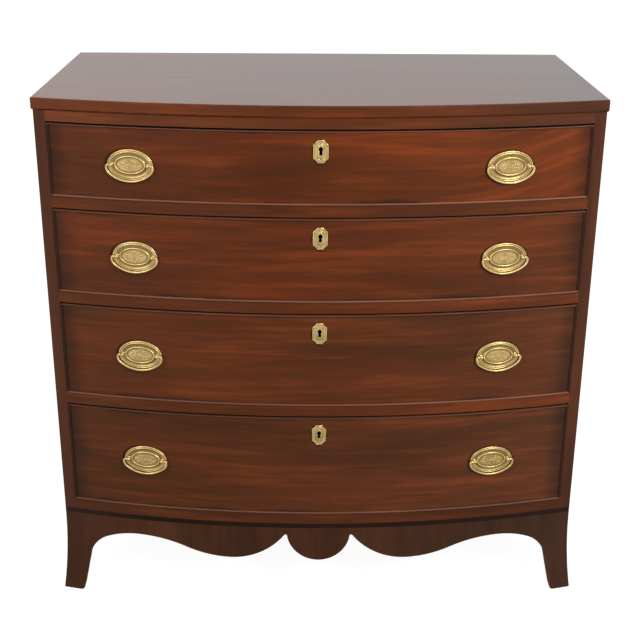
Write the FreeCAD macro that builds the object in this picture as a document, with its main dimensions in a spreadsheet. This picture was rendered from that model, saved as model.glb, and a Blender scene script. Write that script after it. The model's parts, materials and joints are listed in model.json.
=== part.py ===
import FreeCAD, Part
import math
import os
import Sketcher
from FreeCAD import Placement, Rotation, Vector
from types import SimpleNamespace

# Bow front chest of drawers: four graduated drawers behind a bowed front, on splayed bracket feet.
# Millimetres. +X to the right, the front faces -Y, +Z up, and z = 0 is the floor.

doc = FreeCAD.newDocument("BowFrontChest")

SIZES = (
    # overall form
    ("top_width", 1016, "top board, side to side"),
    ("top_depth", 558.8, "top board, front of the bow to the back"),
    ("bow_rise", 66, "how far the bow stands forward of the top's front corners"),
    ("top_thick", 22, "top board"),
    ("top_over", 3, "top board past the case, front and sides"),
    ("back_over", 6, "top board past the case at the back"),
    ("top_round", 2, "round on the upper edge of the top"),
    ("top_under_round", 4, "round on the lower edge of the top"),
    # case
    ("side_thick", 22, "case side"),
    ("skirt_tall", 172.4, "underside of the case above the floor"),
    ("base_rail", 33, "bottom rail, with the band"),
    ("rail_thick", 22, "rail between two drawers"),
    ("top_rail", 19, "rail above the top drawer"),
    ("opening_1", 135, "height of the top drawer's opening"),
    ("opening_2", 160, "height of the second opening"),
    ("opening_3", 185, "height of the third opening"),
    ("opening_4", 210, "height of the bottom opening"),
    ("rail_deep", 52, "rail's rear edge behind the case's front corner"),
    ("rail_shy", 8, "rail's tongue behind the front face"),
    ("housing", 5, "depth of the housings in the sides"),
    ("runner_wide", 45, "runner or kicker, inside the case"),
    ("dust_thick", 6, "dust panel"),
    ("dust_groove", 7, "groove for the dust panel"),
    ("panel_play", 0.3, "a panel's play in its groove"),
    ("rear_rail_wide", 60, "rail at the back, under the top"),
    ("back_thick", 9, "back board"),
    ("back_inset", 2, "back boards set in from the rear edges"),
    ("back_rebate", 10, "rebate that takes the back boards"),
    ("back_gap", 0.4, "joint between two back boards"),
    ("band_tall", 10, "ebonised band"),
    ("band_thick", 5, "ebonised band, let in"),
    ("stop_apart", 330, "drawer stop from the middle"),
    ("stop_long", 40, "drawer stop"),
    ("stop_wide", 8, "drawer stop"),
    ("stop_tall", 8, "drawer stop"),
    ("stop_play", 0.3, "drawer front to its stop"),
    # base
    ("apron_thick", 20, "apron and foot faces"),
    ("flare", 12.6, "how far a foot splays at the floor"),
    ("flare_drop", 8, "start of the splay below the case"),
    ("lobe_low", 100.7, "lowest point of the middle lobe"),
    ("cusp_out", 62, "cusp from the middle"),
    ("cusp_drop", 9.4, "wood left above a cusp"),
    ("cusp_round", 3, "rounding at the top of a cusp"),
    ("swell_out", 173, "lowest point of the outer swell from the middle"),
    ("swell_low", 102.7, "lowest point of the outer swell"),
    ("rise_share", 0.47, "share of the rising curve that bends up"),
    ("arch_in", 146, "top of the arch from the case side"),
    ("arch_tall", 139.4, "top of the arch above the floor"),
    ("arch_radius", 160, "arch beside its top"),
    ("knee_radius", 64, "arch where it turns down into the foot"),
    ("arch_turn", 22.4, "degrees where the arch tightens"),
    ("knee_turn", 78, "degrees where the foot's inner edge starts"),
    ("foot_in", 29.4, "foot's inner edge at the floor, from the case side"),
    ("tip_round", 9, "foot's inner lower corner"),
    ("bracket_thick", 18, "bracket behind each rear foot"),
    ("block_wide", 28, "glue block"),
    ("block_low", 94.4, "underside of the glue blocks"),
    # drawers
    ("gap_top", 1.8, "drawer front to the rail above"),
    ("gap_side", 1.2, "drawer to the case side"),
    ("run_clear", 0.3, "drawer above its runners"),
    ("front_thick", 22, "drawer front"),
    ("drawer_side", 12, "drawer side"),
    ("drawer_back", 12, "drawer back"),
    ("side_drop", 5, "drawer side below the top of the front"),
    ("rear_space", 12, "free space behind the drawers"),
    ("bottom_up", 12, "drawer bottom above the lower edge"),
    ("bottom_thick", 6, "drawer bottom"),
    ("groove_in", 5, "groove that holds the drawer bottom"),
    ("tail_long", 10, "dovetail in the drawer front"),
    ("tail_wide", 22, "dovetail at its root"),
    ("tail_splay", 2, "widening of a dovetail, each side"),
    ("tail_pitch", 40, "spacing aimed at for the dovetails"),
    ("bead_thick", 3.2, "cockbead"),
    ("bead_proud", 3, "cockbead in front of the drawer face"),
    ("bead_in", 6, "cockbead let into the drawer front"),
    ("bead_slope", 1.1, "slope on each side of the cockbead's nose"),
    # locks
    ("key_down", 38.8, "keyhole plate below the rail"),
    ("key_round", 3.6, "keyhole, radius of its round end"),
    ("key_slot", 1.7, "keyhole, half the slot at the round end"),
    ("key_foot", 3.1, "keyhole, half the slot at its foot"),
    ("key_long", 9.5, "keyhole's foot below its round centre"),
    ("key_rise", 4.6, "keyhole's round centre above the plate's middle"),
    ("lock_in", 10, "wood in front of the lock"),
    ("lock_wide", 64, "lock case"),
    ("lock_tall", 50, "lock case"),
    ("lock_wall", 4, "lock case's plates"),
    ("keyway_deep", 2.5, "keyway in the lock case"),
    ("bolt_wide", 26, "lock bolt"),
    ("bolt_thick", 4, "lock bolt"),
    ("bolt_tall", 28, "lock bolt"),
    ("bolt_play", 0.3, "lock bolt in its case"),
    ("bolt_throw", 7, "lock bolt's travel"),
    ("mortise_play", 1.5, "mortise round the thrown bolt"),
    ("plate_half_wide", 13.1, "keyhole plate"),
    ("plate_half_tall", 20.3, "keyhole plate"),
    ("plate_thick", 1.2, "keyhole plate"),
    ("notch_wide", 7.5, "hollow corner of the keyhole plate"),
    ("notch_tall", 8.1, "hollow corner of the keyhole plate"),
    ("notch_radius", 13, "hollow corner of the keyhole plate"),
    ("dome_inset", 4.4, "dome inside the keyhole plate's edge"),
    ("dome_tall", 1.1, "dome of the keyhole plate"),
    ("dome_slope", 1, "sloping edge of the dome"),
    ("dome_end", 7, "radius at the ends of the dome's oval"),
    # pulls
    ("pull_in", 148, "pull from the end of its drawer front"),
    ("pull_drop_1", 2.5, "pull below the middle of opening 1"),
    ("pull_drop_2", 2, "pull below the middle of opening 2"),
    ("pull_drop_3", 0.5, "pull below the middle of opening 3"),
    ("pull_drop_4", 0.5, "pull below the middle of opening 4"),
    ("oval_half_wide", 41.5, "pull's oval plate"),
    ("oval_half_tall", 27.8, "pull's oval plate"),
    ("oval_end", 21.8, "radius at the ends of the plate's oval"),
    ("oval_base", 1.2, "oval plate's sheet"),
    ("rim_wide", 3, "raised rim of the oval plate"),
    ("rim_tall", 2.2, "raised rim of the oval plate"),
    ("boss_half_wide", 27.8, "raised inner oval"),
    ("boss_half_tall", 16.8, "raised inner oval"),
    ("boss_end", 12.6, "radius at the ends of the inner oval"),
    ("boss_tall", 3.4, "raised inner oval"),
    ("boss_slope", 1.6, "sloping side of the inner oval"),
    ("ring_wide", 3, "smooth ring of the inner oval"),
    ("field_deep", 0.9, "field inside the smooth ring"),
    ("post_out", 33, "bail post from the pull's middle"),
    ("hinge_out", 5.6, "bail's axis in front of the drawer face"),
    ("knob_radius", 3.5, "knob of a bail post"),
    ("neck_radius", 2.4, "neck of a bail post"),
    ("collar_radius", 3.2, "collar of a bail post"),
    ("shank_radius", 2, "shank of a bail post"),
    ("shank_spare", 2, "shank past its nut"),
    ("bore_play", 0.3, "hole round a shank"),
    ("nut_radius", 4.6, "nut, to its corners"),
    ("nut_tall", 3, "nut"),
    ("nut_gap", 0.4, "nut to the hollow back of the drawer front"),
    ("pin_radius", 1.4, "bail's pin"),
    ("pin_clear", 0.05, "bail's pin in its post"),
    ("pin_in", 1.5, "end of the bail's pin inside the knob's middle"),
    ("arm_gap", 0.4, "bail's shoulder to the knob"),
    ("rod_radius", 2, "bail's rod"),
    ("bail_half_wide", 42.4, "bail, to the middle of its rod"),
    ("bail_drop", 29, "bail, to the middle of its rod"),
    ("bail_corner", 3.5, "bail where it turns in to the posts"),
    ("bail_end_radius", 16, "bail at the ends of its oval"),
)
BACK_BOARDS = 5
OCTAGON_SHARE = math.tan(math.pi / 8)  # half a side of an octagon to its inner radius

LEFT, RIGHT = 1, -1  # which side of the way along an outline an arc has its centre


class Dim:
    """A size: its number, and the sheet formula that gives it."""

    def __init__(self, number, text):
        self.number = number
        self.text = text

    def __add__(self, other):
        other = dim(other)
        return Dim(self.number + other.number, "(%s + %s)" % (self.text, other.text))

    def __sub__(self, other):
        other = dim(other)
        return Dim(self.number - other.number, "(%s - %s)" % (self.text, other.text))

    def __mul__(self, other):
        other = dim(other)
        return Dim(self.number * other.number, "(%s * %s)" % (self.text, other.text))

    def __truediv__(self, other):
        other = dim(other)
        return Dim(self.number / other.number, "(%s / %s)" % (self.text, other.text))

    def __neg__(self):
        return Dim(-self.number, "(0 - %s)" % self.text)


def dim(value):
    return value if isinstance(value, Dim) else Dim(float(value), "%g" % value)


def root(value):
    return Dim(math.sqrt(value.number), "sqrt(%s)" % value.text)


def sine(angle):
    return Dim(math.sin(math.radians(angle.number)), "sin(%s)" % angle.text)


def cosine(angle):
    return Dim(math.cos(math.radians(angle.number)), "cos(%s)" % angle.text)


def arcsine(ratio):
    return Dim(math.degrees(math.asin(ratio.number)), "asin(%s)" % ratio.text)


sheet = doc.addObject("Spreadsheet::Sheet", "Sizes")
for row, (alias, number, note) in enumerate(SIZES, 1):
    sheet.set("A%d" % row, note)
    sheet.set("B%d" % row, str(number))
    sheet.setAlias("B%d" % row, alias)
doc.recompute()
d = SimpleNamespace(**{alias: Dim(float(getattr(sheet, alias)), "Sizes." + alias) for alias, *rest in SIZES})

layout = doc.addObject("Spreadsheet::Sheet", "Layout")
layout_names = []


def keep(alias, value):
    """Puts a worked-out place in the layout sheet, so that features can name it."""
    layout_names.append(alias)
    row = len(layout_names)
    layout.set("A%d" % row, alias)
    layout.set("B%d" % row, "=" + value.text)
    layout.setAlias("B%d" % row, alias)
    doc.recompute()
    return Dim(value.number, "Layout." + alias)


def bow(radius, x):
    """y of a bow of this radius, at x to the side of the middle."""
    return bow_y - root(radius * radius - x * x)


# places in plan
half_top = keep("half_top", d.top_width / 2)
top_radius = keep("top_radius", (half_top * half_top + d.bow_rise * d.bow_rise) / (d.bow_rise * 2))
top_back = keep("top_back", d.top_depth / 2)
bow_y = keep("bow_y", top_radius - top_back)
top_corner_y = keep("top_corner_y", d.bow_rise - top_back)
case_radius = keep("case_radius", top_radius - d.top_over)
half_case = keep("half_case", half_top - d.top_over)
half_open = keep("half_open", half_case - d.side_thick)
corner_y = keep("corner_y", bow(case_radius, half_case))
stile_y = keep("stile_y", bow(case_radius, half_open))
front_y = keep("front_y", bow_y - case_radius)
case_back = keep("case_back", top_back - d.back_over)
inner_back = keep("inner_back", case_back - d.back_inset - d.back_thick)
rail_rear = keep("rail_rear", corner_y + d.rail_deep)
runner_in = keep("runner_in", half_open - d.runner_wide)

# heights, from the floor up: drawer 4 is the bottom one
case_base = d.skirt_tall
floors = {4: keep("floor_4", case_base + d.base_rail)}
roofs = {}
for number in (4, 3, 2, 1):
    roofs[number] = keep("roof_%d" % number, floors[number] + getattr(d, "opening_%d" % number))
    if number > 1:
        floors[number - 1] = keep("floor_%d" % (number - 1), roofs[number] + d.rail_thick)
case_top = keep("case_top", roofs[1] + d.top_rail)
total_height = keep("total_height", case_top + d.top_thick)

# drawers in plan
half_front = keep("half_front", half_open - d.gap_side)
pull_apart = keep("pull_apart", half_front - d.pull_in)
box_in = keep("box_in", half_front - d.drawer_side)
core_radius = keep("core_radius", case_radius - d.bead_in)
hollow_radius = keep("hollow_radius", case_radius - d.front_thick)
land_y = keep("land_y", bow(hollow_radius, box_in))
tail_y = keep("tail_y", land_y - d.tail_long)
rear_y = keep("rear_y", inner_back - d.rear_space)

# bolt and lock, behind the middle of a drawer front
lock_y = keep("lock_y", front_y + d.lock_in)
bolt_y = keep("bolt_y", lock_y + d.lock_wall)
flare_tall = keep("flare_tall", case_base - d.flare_drop)
flare_radius = keep("flare_radius", (flare_tall * flare_tall + d.flare * d.flare) / (d.flare * 2))
cusp_tall = keep("cusp_tall", case_base - d.cusp_drop)

cuts = []
nodes = []


def node(item, label):
    """Names a sub-part, which also names its file."""
    item.Label = label
    nodes.append(item)
    return item


def new_body(label):
    body = doc.addObject("PartDesign::Body", label)
    body.Label = label
    return body


def new_sketch(body, name, role, offset=None):
    sketch = body.newObject("Sketcher::SketchObject", name)
    plane = next(item for item in body.Origin.OriginFeatures if item.Role == role)
    sketch.AttachmentSupport = [(plane, "")]
    sketch.MapMode = "FlatFace"
    if offset is not None:
        sketch.AttachmentOffset = Placement(Vector(0, 0, offset.number), Rotation())
        sketch.setExpression("AttachmentOffset.Base.z", offset.text)
    return sketch


def bind(sketch, value, *constraint):
    index = sketch.addConstraint(Sketcher.Constraint(*constraint, value.number))
    sketch.setExpression("Constraints[%d]" % index, value.text)


def arc_between(start, finish, radius, side):
    """The arc under half a turn between two points, with its centre on that side of the way."""
    chord = finish - start
    rise = math.sqrt(max(radius * radius - chord.Length * chord.Length / 4, 0))
    left = Vector(-chord.y, chord.x, 0).normalize()
    centre = (start + finish) * 0.5 + left * (rise * side)
    circle = Part.Circle(centre, Vector(0, 0, 1), radius)
    first, last = (start, finish) if side == LEFT else (finish, start)
    return Part.ArcOfCircle(circle, circle.parameter(first), circle.parameter(last))


def outline(sketch, corners, closed=True):
    """Straight and round runs through pinned corners. A corner is (x, y), or (x, y, radius, side)
    where an arc leads on from it."""
    corners = [(dim(corner[0]), dim(corner[1])) + tuple(corner[2:]) for corner in corners]
    spots = [Vector(corner[0].number, corner[1].number, 0) for corner in corners]
    runs = len(corners) if closed else len(corners) - 1
    first = sketch.GeometryCount
    starts = []
    ends = []
    for index in range(runs):
        start = spots[index]
        finish = spots[(index + 1) % len(spots)]
        if len(corners[index]) == 2:
            sketch.addGeometry(Part.LineSegment(start, finish))
            backwards = False
        else:
            radius, side = corners[index][2:]
            sketch.addGeometry(arc_between(start, finish, radius.number, side))
            backwards = side == RIGHT
        starts.append((first + index, 2 if backwards else 1))
        ends.append((first + index, 1 if backwards else 2))
    for index in range(runs):
        follower = (index + 1) % runs
        if closed or follower:
            sketch.addConstraint(Sketcher.Constraint("Coincident", *ends[index], *starts[follower]))
        if len(corners[index]) > 2:
            bind(sketch, corners[index][2], "Radius", first + index)
        bind(sketch, corners[index][0], "DistanceX", -1, 1, *starts[index])
        bind(sketch, corners[index][1], "DistanceY", -1, 1, *starts[index])
    if not closed:
        bind(sketch, corners[-1][0], "DistanceX", -1, 1, *ends[-1])
        bind(sketch, corners[-1][1], "DistanceY", -1, 1, *ends[-1])


def rectangle(sketch, x_low, x_high, y_low, y_high):
    outline(sketch, ((x_low, y_low), (x_high, y_low), (x_high, y_high), (x_low, y_high)))


def circle(sketch, x, y, radius):
    x, y = dim(x), dim(y)
    item = sketch.addGeometry(Part.Circle(Vector(x.number, y.number, 0), Vector(0, 0, 1), radius.number))
    bind(sketch, radius, "Radius", item)
    bind(sketch, x, "DistanceX", -1, 1, item, 3)
    bind(sketch, y, "DistanceY", -1, 1, item, 3)


def oval(sketch, z, half_wide, half_tall, end_radius):
    """A four-arc oval about (0, z), lying or standing, with this radius at its ends."""
    lying = half_wide.number >= half_tall.number
    long, short = (half_wide, half_tall) if lying else (half_tall, half_wide)
    along = long - end_radius
    side_radius = (along * along + short * short - end_radius * end_radius) / ((short - end_radius) * 2)
    share = end_radius / (side_radius - end_radius)
    joins = (along + along * share, (side_radius - short) * share)
    x, rise = joins if lying else reversed(joins)
    first, second = (end_radius, side_radius) if lying else (side_radius, end_radius)
    outline(sketch, (
        (x, z - rise, first, LEFT),
        (x, z + rise, second, LEFT),
        (-x, z + rise, first, LEFT),
        (-x, z - rise, second, LEFT),
    ))


def octagon(sketch, x, radius):
    """A regular octagon about (x, 0), flat sides square to the axes, this far from its middle."""
    half = radius * OCTAGON_SHARE
    corners = ((-half, -radius), (half, -radius), (radius, -half), (radius, half))
    corners += tuple((-across, -up) for across, up in corners)
    outline(sketch, [(x + across, up) for across, up in corners])


def feature(body, kind, name, sketch):
    item = body.newObject("PartDesign::" + kind, name)
    item.Profile = sketch
    body.Tip = item
    return item


def pad(body, sketch, length, name, backwards=False):
    """Adds along the sketch's normal: +Z from XY, -Y from XZ, +X from YZ."""
    item = feature(body, "Pad", name, sketch)
    item.setExpression("Length", length.text)
    item.Reversed = backwards
    return item


def pocket(body, sketch, depth, name, along=False):
    """Cuts against the sketch's normal, or along it. No depth cuts right through, both ways."""
    item = feature(body, "Pocket", name, sketch)
    if depth is None:
        item.SideType = "Two sides"
        item.Type = "ThroughAll"
        item.Type2 = "ThroughAll"
    else:
        item.setExpression("Length", depth.text)
        item.Reversed = along
    cuts.append(item)
    return item


def row_of(body, original, sketch, count, length, name):
    """Repeats a feature upwards."""
    item = body.newObject("PartDesign::LinearPattern", name)
    item.Originals = [original]
    item.Direction = (sketch, ["V_Axis"])
    item.Occurrences = count
    item.setExpression("Length", length.text)
    body.Tip = item
    return item


def dress(body, kind, base, size, wanted, name):
    """A fillet or chamfer on those edges of a feature for which wanted(edge) holds."""
    doc.recompute()
    names = ["Edge%d" % (index + 1) for index, edge in enumerate(base.Shape.Edges) if wanted(edge)]
    item = body.newObject("PartDesign::" + kind, name)
    item.Base = (base, names)
    item.setExpression("Radius" if kind == "Fillet" else "Size", size.text)
    body.Tip = item
    return item


def foremost(reach):
    """Picks the edges round a face that stands this far out, towards -Y."""
    return lambda edge: edge.BoundBox.YMax < 0.01 - reach.number


def in_line(x, z):
    """Picks the edges that run from front to back at this height, this far from the middle."""
    def wanted(edge):
        middle = edge.BoundBox.Center
        return math.hypot(abs(middle.x) - x.number, middle.z - z.number) < 0.01
    return wanted


def board(label, x_low, x_high, y_low, y_high, z_low, z_high):
    """A plain squared board."""
    item = doc.addObject("Part::Box", label)
    item.Label = label
    sides = (("Length", x_low, x_high), ("Width", y_low, y_high), ("Height", z_low, z_high))
    for (name, low, high), axis in zip(sides, "xyz"):
        item.setExpression(name, (dim(high) - low).text)
        item.setExpression("Placement.Base." + axis, dim(low).text)
    return item


def mirrored(source, label):
    """The same piece on the other side of the chest."""
    item = doc.addObject("Part::Mirroring", label)
    item.Label = label
    item.Source = source
    item.Normal = Vector(1, 0, 0)
    return item


def group(label, members):
    item = doc.addObject("Part::Compound", label)
    item.Label = label
    item.Links = members
    return item


def placed(source, label, x, y, z, turn=None):
    """A copy of a piece at a place of its own, turned about the vertical."""
    item = group(label, [source])
    degrees = turn.number if turn else 0
    item.Placement = Placement(Vector(0, 0, 0), Rotation(Vector(0, 0, 1), degrees))
    for axis, value in zip("xyz", (x, y, z)):
        item.setExpression("Placement.Base." + axis, dim(value).text)
    if turn:
        item.setExpression("Placement.Rotation.Angle", turn.text)
    return item


def mirrored_run(run):
    """A run of corners on the other side of x = 0, walked the other way."""
    spots = [(-corner[0], corner[1]) for corner in reversed(run)]
    arcs = [tuple(corner[2:]) for corner in reversed(run[:-1])]
    return [spot + arc for spot, arc in zip(spots, arcs)] + [spots[-1]]


# ---- top board ----

def make_top_board():
    body = new_body("top_board")
    sketch = new_sketch(body, "top_plan", "XY_Plane", case_top)
    outline(sketch, (
        (-half_top, top_corner_y, top_radius, LEFT),
        (half_top, top_corner_y),
        (half_top, top_back),
        (-half_top, top_back),
    ))
    slab = pad(body, sketch, d.top_thick, "top_slab")

    def on_rim(level):
        return lambda edge: (abs(edge.BoundBox.ZMin - level) < 0.01 and abs(edge.BoundBox.ZMax - level) < 0.01
                             and edge.BoundBox.YMin < top_back.number - 0.01)

    upper = dress(body, "Fillet", slab, d.top_round, on_rim(total_height.number), "top_upper_round")
    dress(body, "Fillet", upper, d.top_under_round, on_rim(case_top.number), "top_lower_round")
    node(body, "top_board")


# ---- case ----

def make_case_sides():
    body = new_body("case_side_right")
    sketch = new_sketch(body, "side_plan", "XY_Plane", case_base)
    outline(sketch, (
        (half_open, stile_y, case_radius, LEFT),
        (half_case, corner_y),
        (half_case, case_back),
        (half_open, case_back),
    ))
    pad(body, sketch, case_top - case_base, "side_board")

    housings = new_sketch(body, "side_housings", "YZ_Plane", half_open)
    for low, high in level_heights():
        rectangle(housings, stile_y + d.rail_shy, inner_back, low, high)
    pocket(body, housings, d.housing, "side_housing_cuts", along=True)

    rebate = new_sketch(body, "side_rebate", "XY_Plane", case_base)
    rectangle(rebate, half_open, half_open + d.back_rebate, inner_back, case_back)
    pocket(body, rebate, None, "side_rebate_cut")

    strip = new_sketch(body, "side_band_rebate", "XY_Plane", case_base)
    outer = case_radius + d.band_thick
    inner = case_radius - d.band_thick
    edge = half_case - d.band_thick
    outline(strip, (
        (half_open, bow(outer, half_open), outer, LEFT),
        (half_case + d.band_thick, bow(outer, half_case + d.band_thick)),
        (half_case + d.band_thick, case_back),
        (edge, case_back),
        (edge, bow(inner, edge), inner, RIGHT),
        (half_open, bow(inner, half_open)),
    ))
    pocket(body, strip, d.band_tall, "side_band_cut", along=True)
    node(body, "case_side_right")
    node(mirrored(body, "case_side_left"), "case_side_left")


def level_heights():
    """Low and high of each rail level: bottom, between the drawers, top."""
    heights = [(case_base, floors[4])]
    heights += [(roofs[number], floors[number - 1]) for number in (4, 3, 2)]
    return heights + [(roofs[1], case_top)]


def make_rail(label, low, high, drawer_below):
    """A rail with a bowed front and tongues in the case sides."""
    body = new_body(label)
    sketch = new_sketch(body, label + "_plan", "XY_Plane", low)
    tongue = half_open + d.housing
    half = [
        (half_open, stile_y),
        (half_open, stile_y + d.rail_shy),
        (tongue, stile_y + d.rail_shy),
        (tongue, rail_rear),
    ]
    outline(sketch, [(-half_open, stile_y, case_radius, LEFT)] + half + mirrored_run(half)[:-1])
    pad(body, sketch, high - low, label + "_board")
    if high is not case_top:
        groove = new_sketch(body, label + "_groove", "XZ_Plane", -rail_rear)
        edge = runner_in + d.dust_groove
        middle = (low + high) / 2
        rectangle(groove, -edge, edge, middle - d.dust_thick / 2, middle + d.dust_thick / 2)
        pocket(body, groove, d.dust_groove, label + "_groove_cut", along=True)
    if drawer_below:
        mortise = new_sketch(body, label + "_mortise", "XY_Plane", low)
        half_wide = d.bolt_wide / 2 + d.mortise_play
        front = bolt_y - d.mortise_play
        rectangle(mortise, -half_wide, half_wide, front, bolt_y + d.bolt_thick + d.mortise_play)
        pocket(body, mortise, d.bolt_throw + d.mortise_play, label + "_mortise_cut", along=True)
    else:
        strip = new_sketch(body, label + "_band", "XY_Plane", low)
        outer = case_radius + d.band_thick
        inner = case_radius - d.band_thick
        outline(strip, (
            (-half_open, bow(outer, half_open), outer, LEFT),
            (half_open, bow(outer, half_open)),
            (half_open, bow(inner, half_open), inner, RIGHT),
            (-half_open, bow(inner, half_open)),
        ))
        pocket(body, strip, d.band_tall, label + "_band_cut", along=True)
    return body


def make_runner(label, low, high):
    body = new_body(label)
    sketch = new_sketch(body, label + "_plan", "XY_Plane", low)
    rectangle(sketch, runner_in, half_open + d.housing, rail_rear, inner_back)
    pad(body, sketch, high - low, label + "_strip")
    groove = new_sketch(body, label + "_groove", "YZ_Plane", runner_in)
    middle = (low + high) / 2
    rectangle(groove, rail_rear, inner_back, middle - d.dust_thick / 2, middle + d.dust_thick / 2)
    pocket(body, groove, d.dust_groove, label + "_groove_cut", along=True)
    return body


def make_case_frames():
    """Rails, runners, kickers, stops and dust panels: one level under and above each drawer."""
    levels = level_heights()
    rails = []
    runners = []
    panels = []
    for index, (low, high) in enumerate(levels):
        rail = make_rail("rail_%d" % index, low, high, drawer_below=index > 0)
        if index == len(levels) - 1:
            tongue = half_open + d.housing
            rear = board("rear_rail", -tongue, tongue, inner_back - d.rear_rail_wide, inner_back, low, high)
            node(group("top_rails", [rail, rear]), "top_rails")
            kicker = board("kicker", runner_in, tongue, rail_rear, inner_back - d.rear_rail_wide, low, high)
            runners += [kicker, mirrored(kicker, "kicker_left")]
            continue
        rails.append(rail)
        runner = make_runner("runner_%d" % index, low, high)
        stop_end = d.stop_apart + d.stop_long
        stop_y = bow(hollow_radius, stop_end) + d.stop_play
        stop = board("stop_%d" % index, d.stop_apart, stop_end, stop_y, stop_y + d.stop_wide,
                     high, high + d.stop_tall)
        for piece in (runner, stop):
            runners += [piece, mirrored(piece, piece.Label + "_left")]
        edge = runner_in + d.dust_groove - d.panel_play
        middle = (low + high) / 2
        panel_front = rail_rear - d.dust_groove + d.panel_play
        panels.append(board("dust_panel_%d" % index, -edge, edge, panel_front, inner_back,
                            middle - d.dust_thick / 2, middle + d.dust_thick / 2))
    node(group("drawer_rails", rails), "drawer_rails")
    node(group("drawer_runners", runners), "drawer_runners")
    node(group("dust_panels", panels), "dust_panels")


def make_back():
    left = -(half_open + d.back_rebate)
    wide = (-(left * 2) - d.back_gap * (BACK_BOARDS - 1)) / BACK_BOARDS
    boards = []
    for index in range(BACK_BOARDS):
        start = left + (wide + d.back_gap) * index
        boards.append(board("back_board_%d" % (index + 1), start, start + wide, inner_back,
                            inner_back + d.back_thick, case_base, case_top))
    node(group("case_back", boards), "case_back")


def make_band():
    inner = case_radius - d.band_thick
    edge = half_case - d.band_thick
    edge_y = bow(inner, edge)
    front = new_body("band_front")
    sketch = new_sketch(front, "band_front_plan", "XY_Plane", case_base)
    outline(sketch, (
        (-half_case, corner_y, case_radius, LEFT),
        (half_case, corner_y),
        (edge, edge_y, inner, RIGHT),
        (-edge, edge_y),
    ))
    pad(front, sketch, d.band_tall, "band_front_strip")
    side = new_body("band_side")
    sketch = new_sketch(side, "band_side_plan", "XY_Plane", case_base)
    outline(sketch, ((half_case, corner_y), (half_case, case_back), (edge, case_back), (edge, edge_y)))
    pad(side, sketch, d.band_tall, "band_side_strip")
    node(group("base_band", [front, side, mirrored(side, "band_side_left")]), "base_band")


# ---- base: aprons that run into splayed feet ----

def foot_run(edge, foot_in):
    """From the top of an arch out to the floor, for a foot whose outer edge is at that coordinate."""
    peak = edge - d.arch_in
    turn_x = peak + d.arch_radius * sine(d.arch_turn)
    turn_z = d.arch_tall - d.arch_radius * (dim(1) - cosine(d.arch_turn))
    knee_x = turn_x + d.knee_radius * (sine(d.knee_turn) - sine(d.arch_turn))
    knee_z = turn_z + d.knee_radius * (cosine(d.knee_turn) - cosine(d.arch_turn))
    tip = edge - foot_in
    tip_reach = d.tip_round * sine(d.knee_turn) / (cosine(d.knee_turn) + 1)
    return [
        (peak, d.arch_tall, d.arch_radius, RIGHT),
        (turn_x, turn_z, d.knee_radius, RIGHT),
        (knee_x, knee_z),
        (tip - tip_reach * cosine(d.knee_turn), tip_reach * sine(d.knee_turn), d.tip_round, LEFT),
        (tip + tip_reach, dim(0)),
        (tip + tip_reach, -d.flare),
    ]


def mitre_corners():
    """Inner and outer ends of the corner mitre, drawn out past the wood, about the bow's centre."""
    outer_x = half_case + d.flare
    outer_r = case_radius + d.flare
    inner_x = half_case - d.apron_thick
    inner_r = case_radius - d.apron_thick
    outer_y = -root(outer_r * outer_r - outer_x * outer_x)
    inner_y = -root(inner_r * inner_r - inner_x * inner_x)
    step_x = outer_x - inner_x
    step_y = outer_y - inner_y
    return (inner_x - step_x / 2, inner_y - step_y / 2), (outer_x + step_x / 2, outer_y + step_y / 2)


def make_apron_front():
    body = new_body("apron_front")
    body.setExpression("Placement.Base.y", bow_y.text)
    inner = case_radius - d.apron_thick
    section = new_sketch(body, "apron_section", "YZ_Plane")
    outline(section, (
        (-case_radius, case_base),
        (-case_radius, flare_tall, flare_radius, RIGHT),
        (-(case_radius + d.flare), dim(0)),
        (-(inner + d.flare), dim(0), flare_radius, LEFT),
        (-inner, flare_tall),
        (-inner, case_base),
    ))
    turned = feature(body, "Revolution", "apron_bow", section)
    turned.ReferenceAxis = (section, ["V_Axis"])
    turned.Midplane = True
    turned.setExpression("Angle", (arcsine((half_case + d.flare) / case_radius) * 2.2).text)

    cusp_fall = cusp_tall - d.lobe_low
    lobe_radius = (d.cusp_out * d.cusp_out + cusp_fall * cusp_fall) / (cusp_fall * 2)
    swell_run = d.swell_out - d.cusp_out
    swell_fall = cusp_tall - d.swell_low
    swell_radius = (swell_run * swell_run + swell_fall * swell_fall) / (swell_fall * 2)
    foot = foot_run(half_case, d.foot_in)
    rise_run = foot[0][0] - d.swell_out
    rise = d.arch_tall - d.swell_low
    rise_radii = (rise_run * rise_run + rise * rise) / (rise * 2)
    run = [
        (d.cusp_out, cusp_tall, swell_radius, LEFT),
        (d.swell_out, d.swell_low, rise_radii * d.rise_share, LEFT),
        (d.swell_out + rise_run * d.rise_share, d.swell_low + rise * d.rise_share,
         rise_radii - rise_radii * d.rise_share, RIGHT),
    ] + foot
    shape = new_sketch(body, "apron_shape", "XZ_Plane")
    outline(shape, mirrored_run(run)[:-1] + [(-d.cusp_out, cusp_tall, lobe_radius, LEFT)] + run)
    scalloped = pocket(body, shape, None, "apron_shape_cut")
    dress(body, "Fillet", scalloped, d.cusp_round, in_line(d.cusp_out, cusp_tall), "apron_cusp_rounding")

    mitres = new_sketch(body, "apron_mitres", "XY_Plane")
    (in_x, in_y), (out_x, out_y) = mitre_corners()
    far = out_x + d.apron_thick * 5
    behind = in_y + d.apron_thick * 5
    end = [(in_x, in_y), (out_x, out_y), (far, out_y), (far, behind), (in_x, behind)]
    outline(mitres, end)
    outline(mitres, [(-x, y) for x, y in reversed(end)])
    pocket(body, mitres, None, "apron_mitre_cut")
    node(body, "apron_front")


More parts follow.
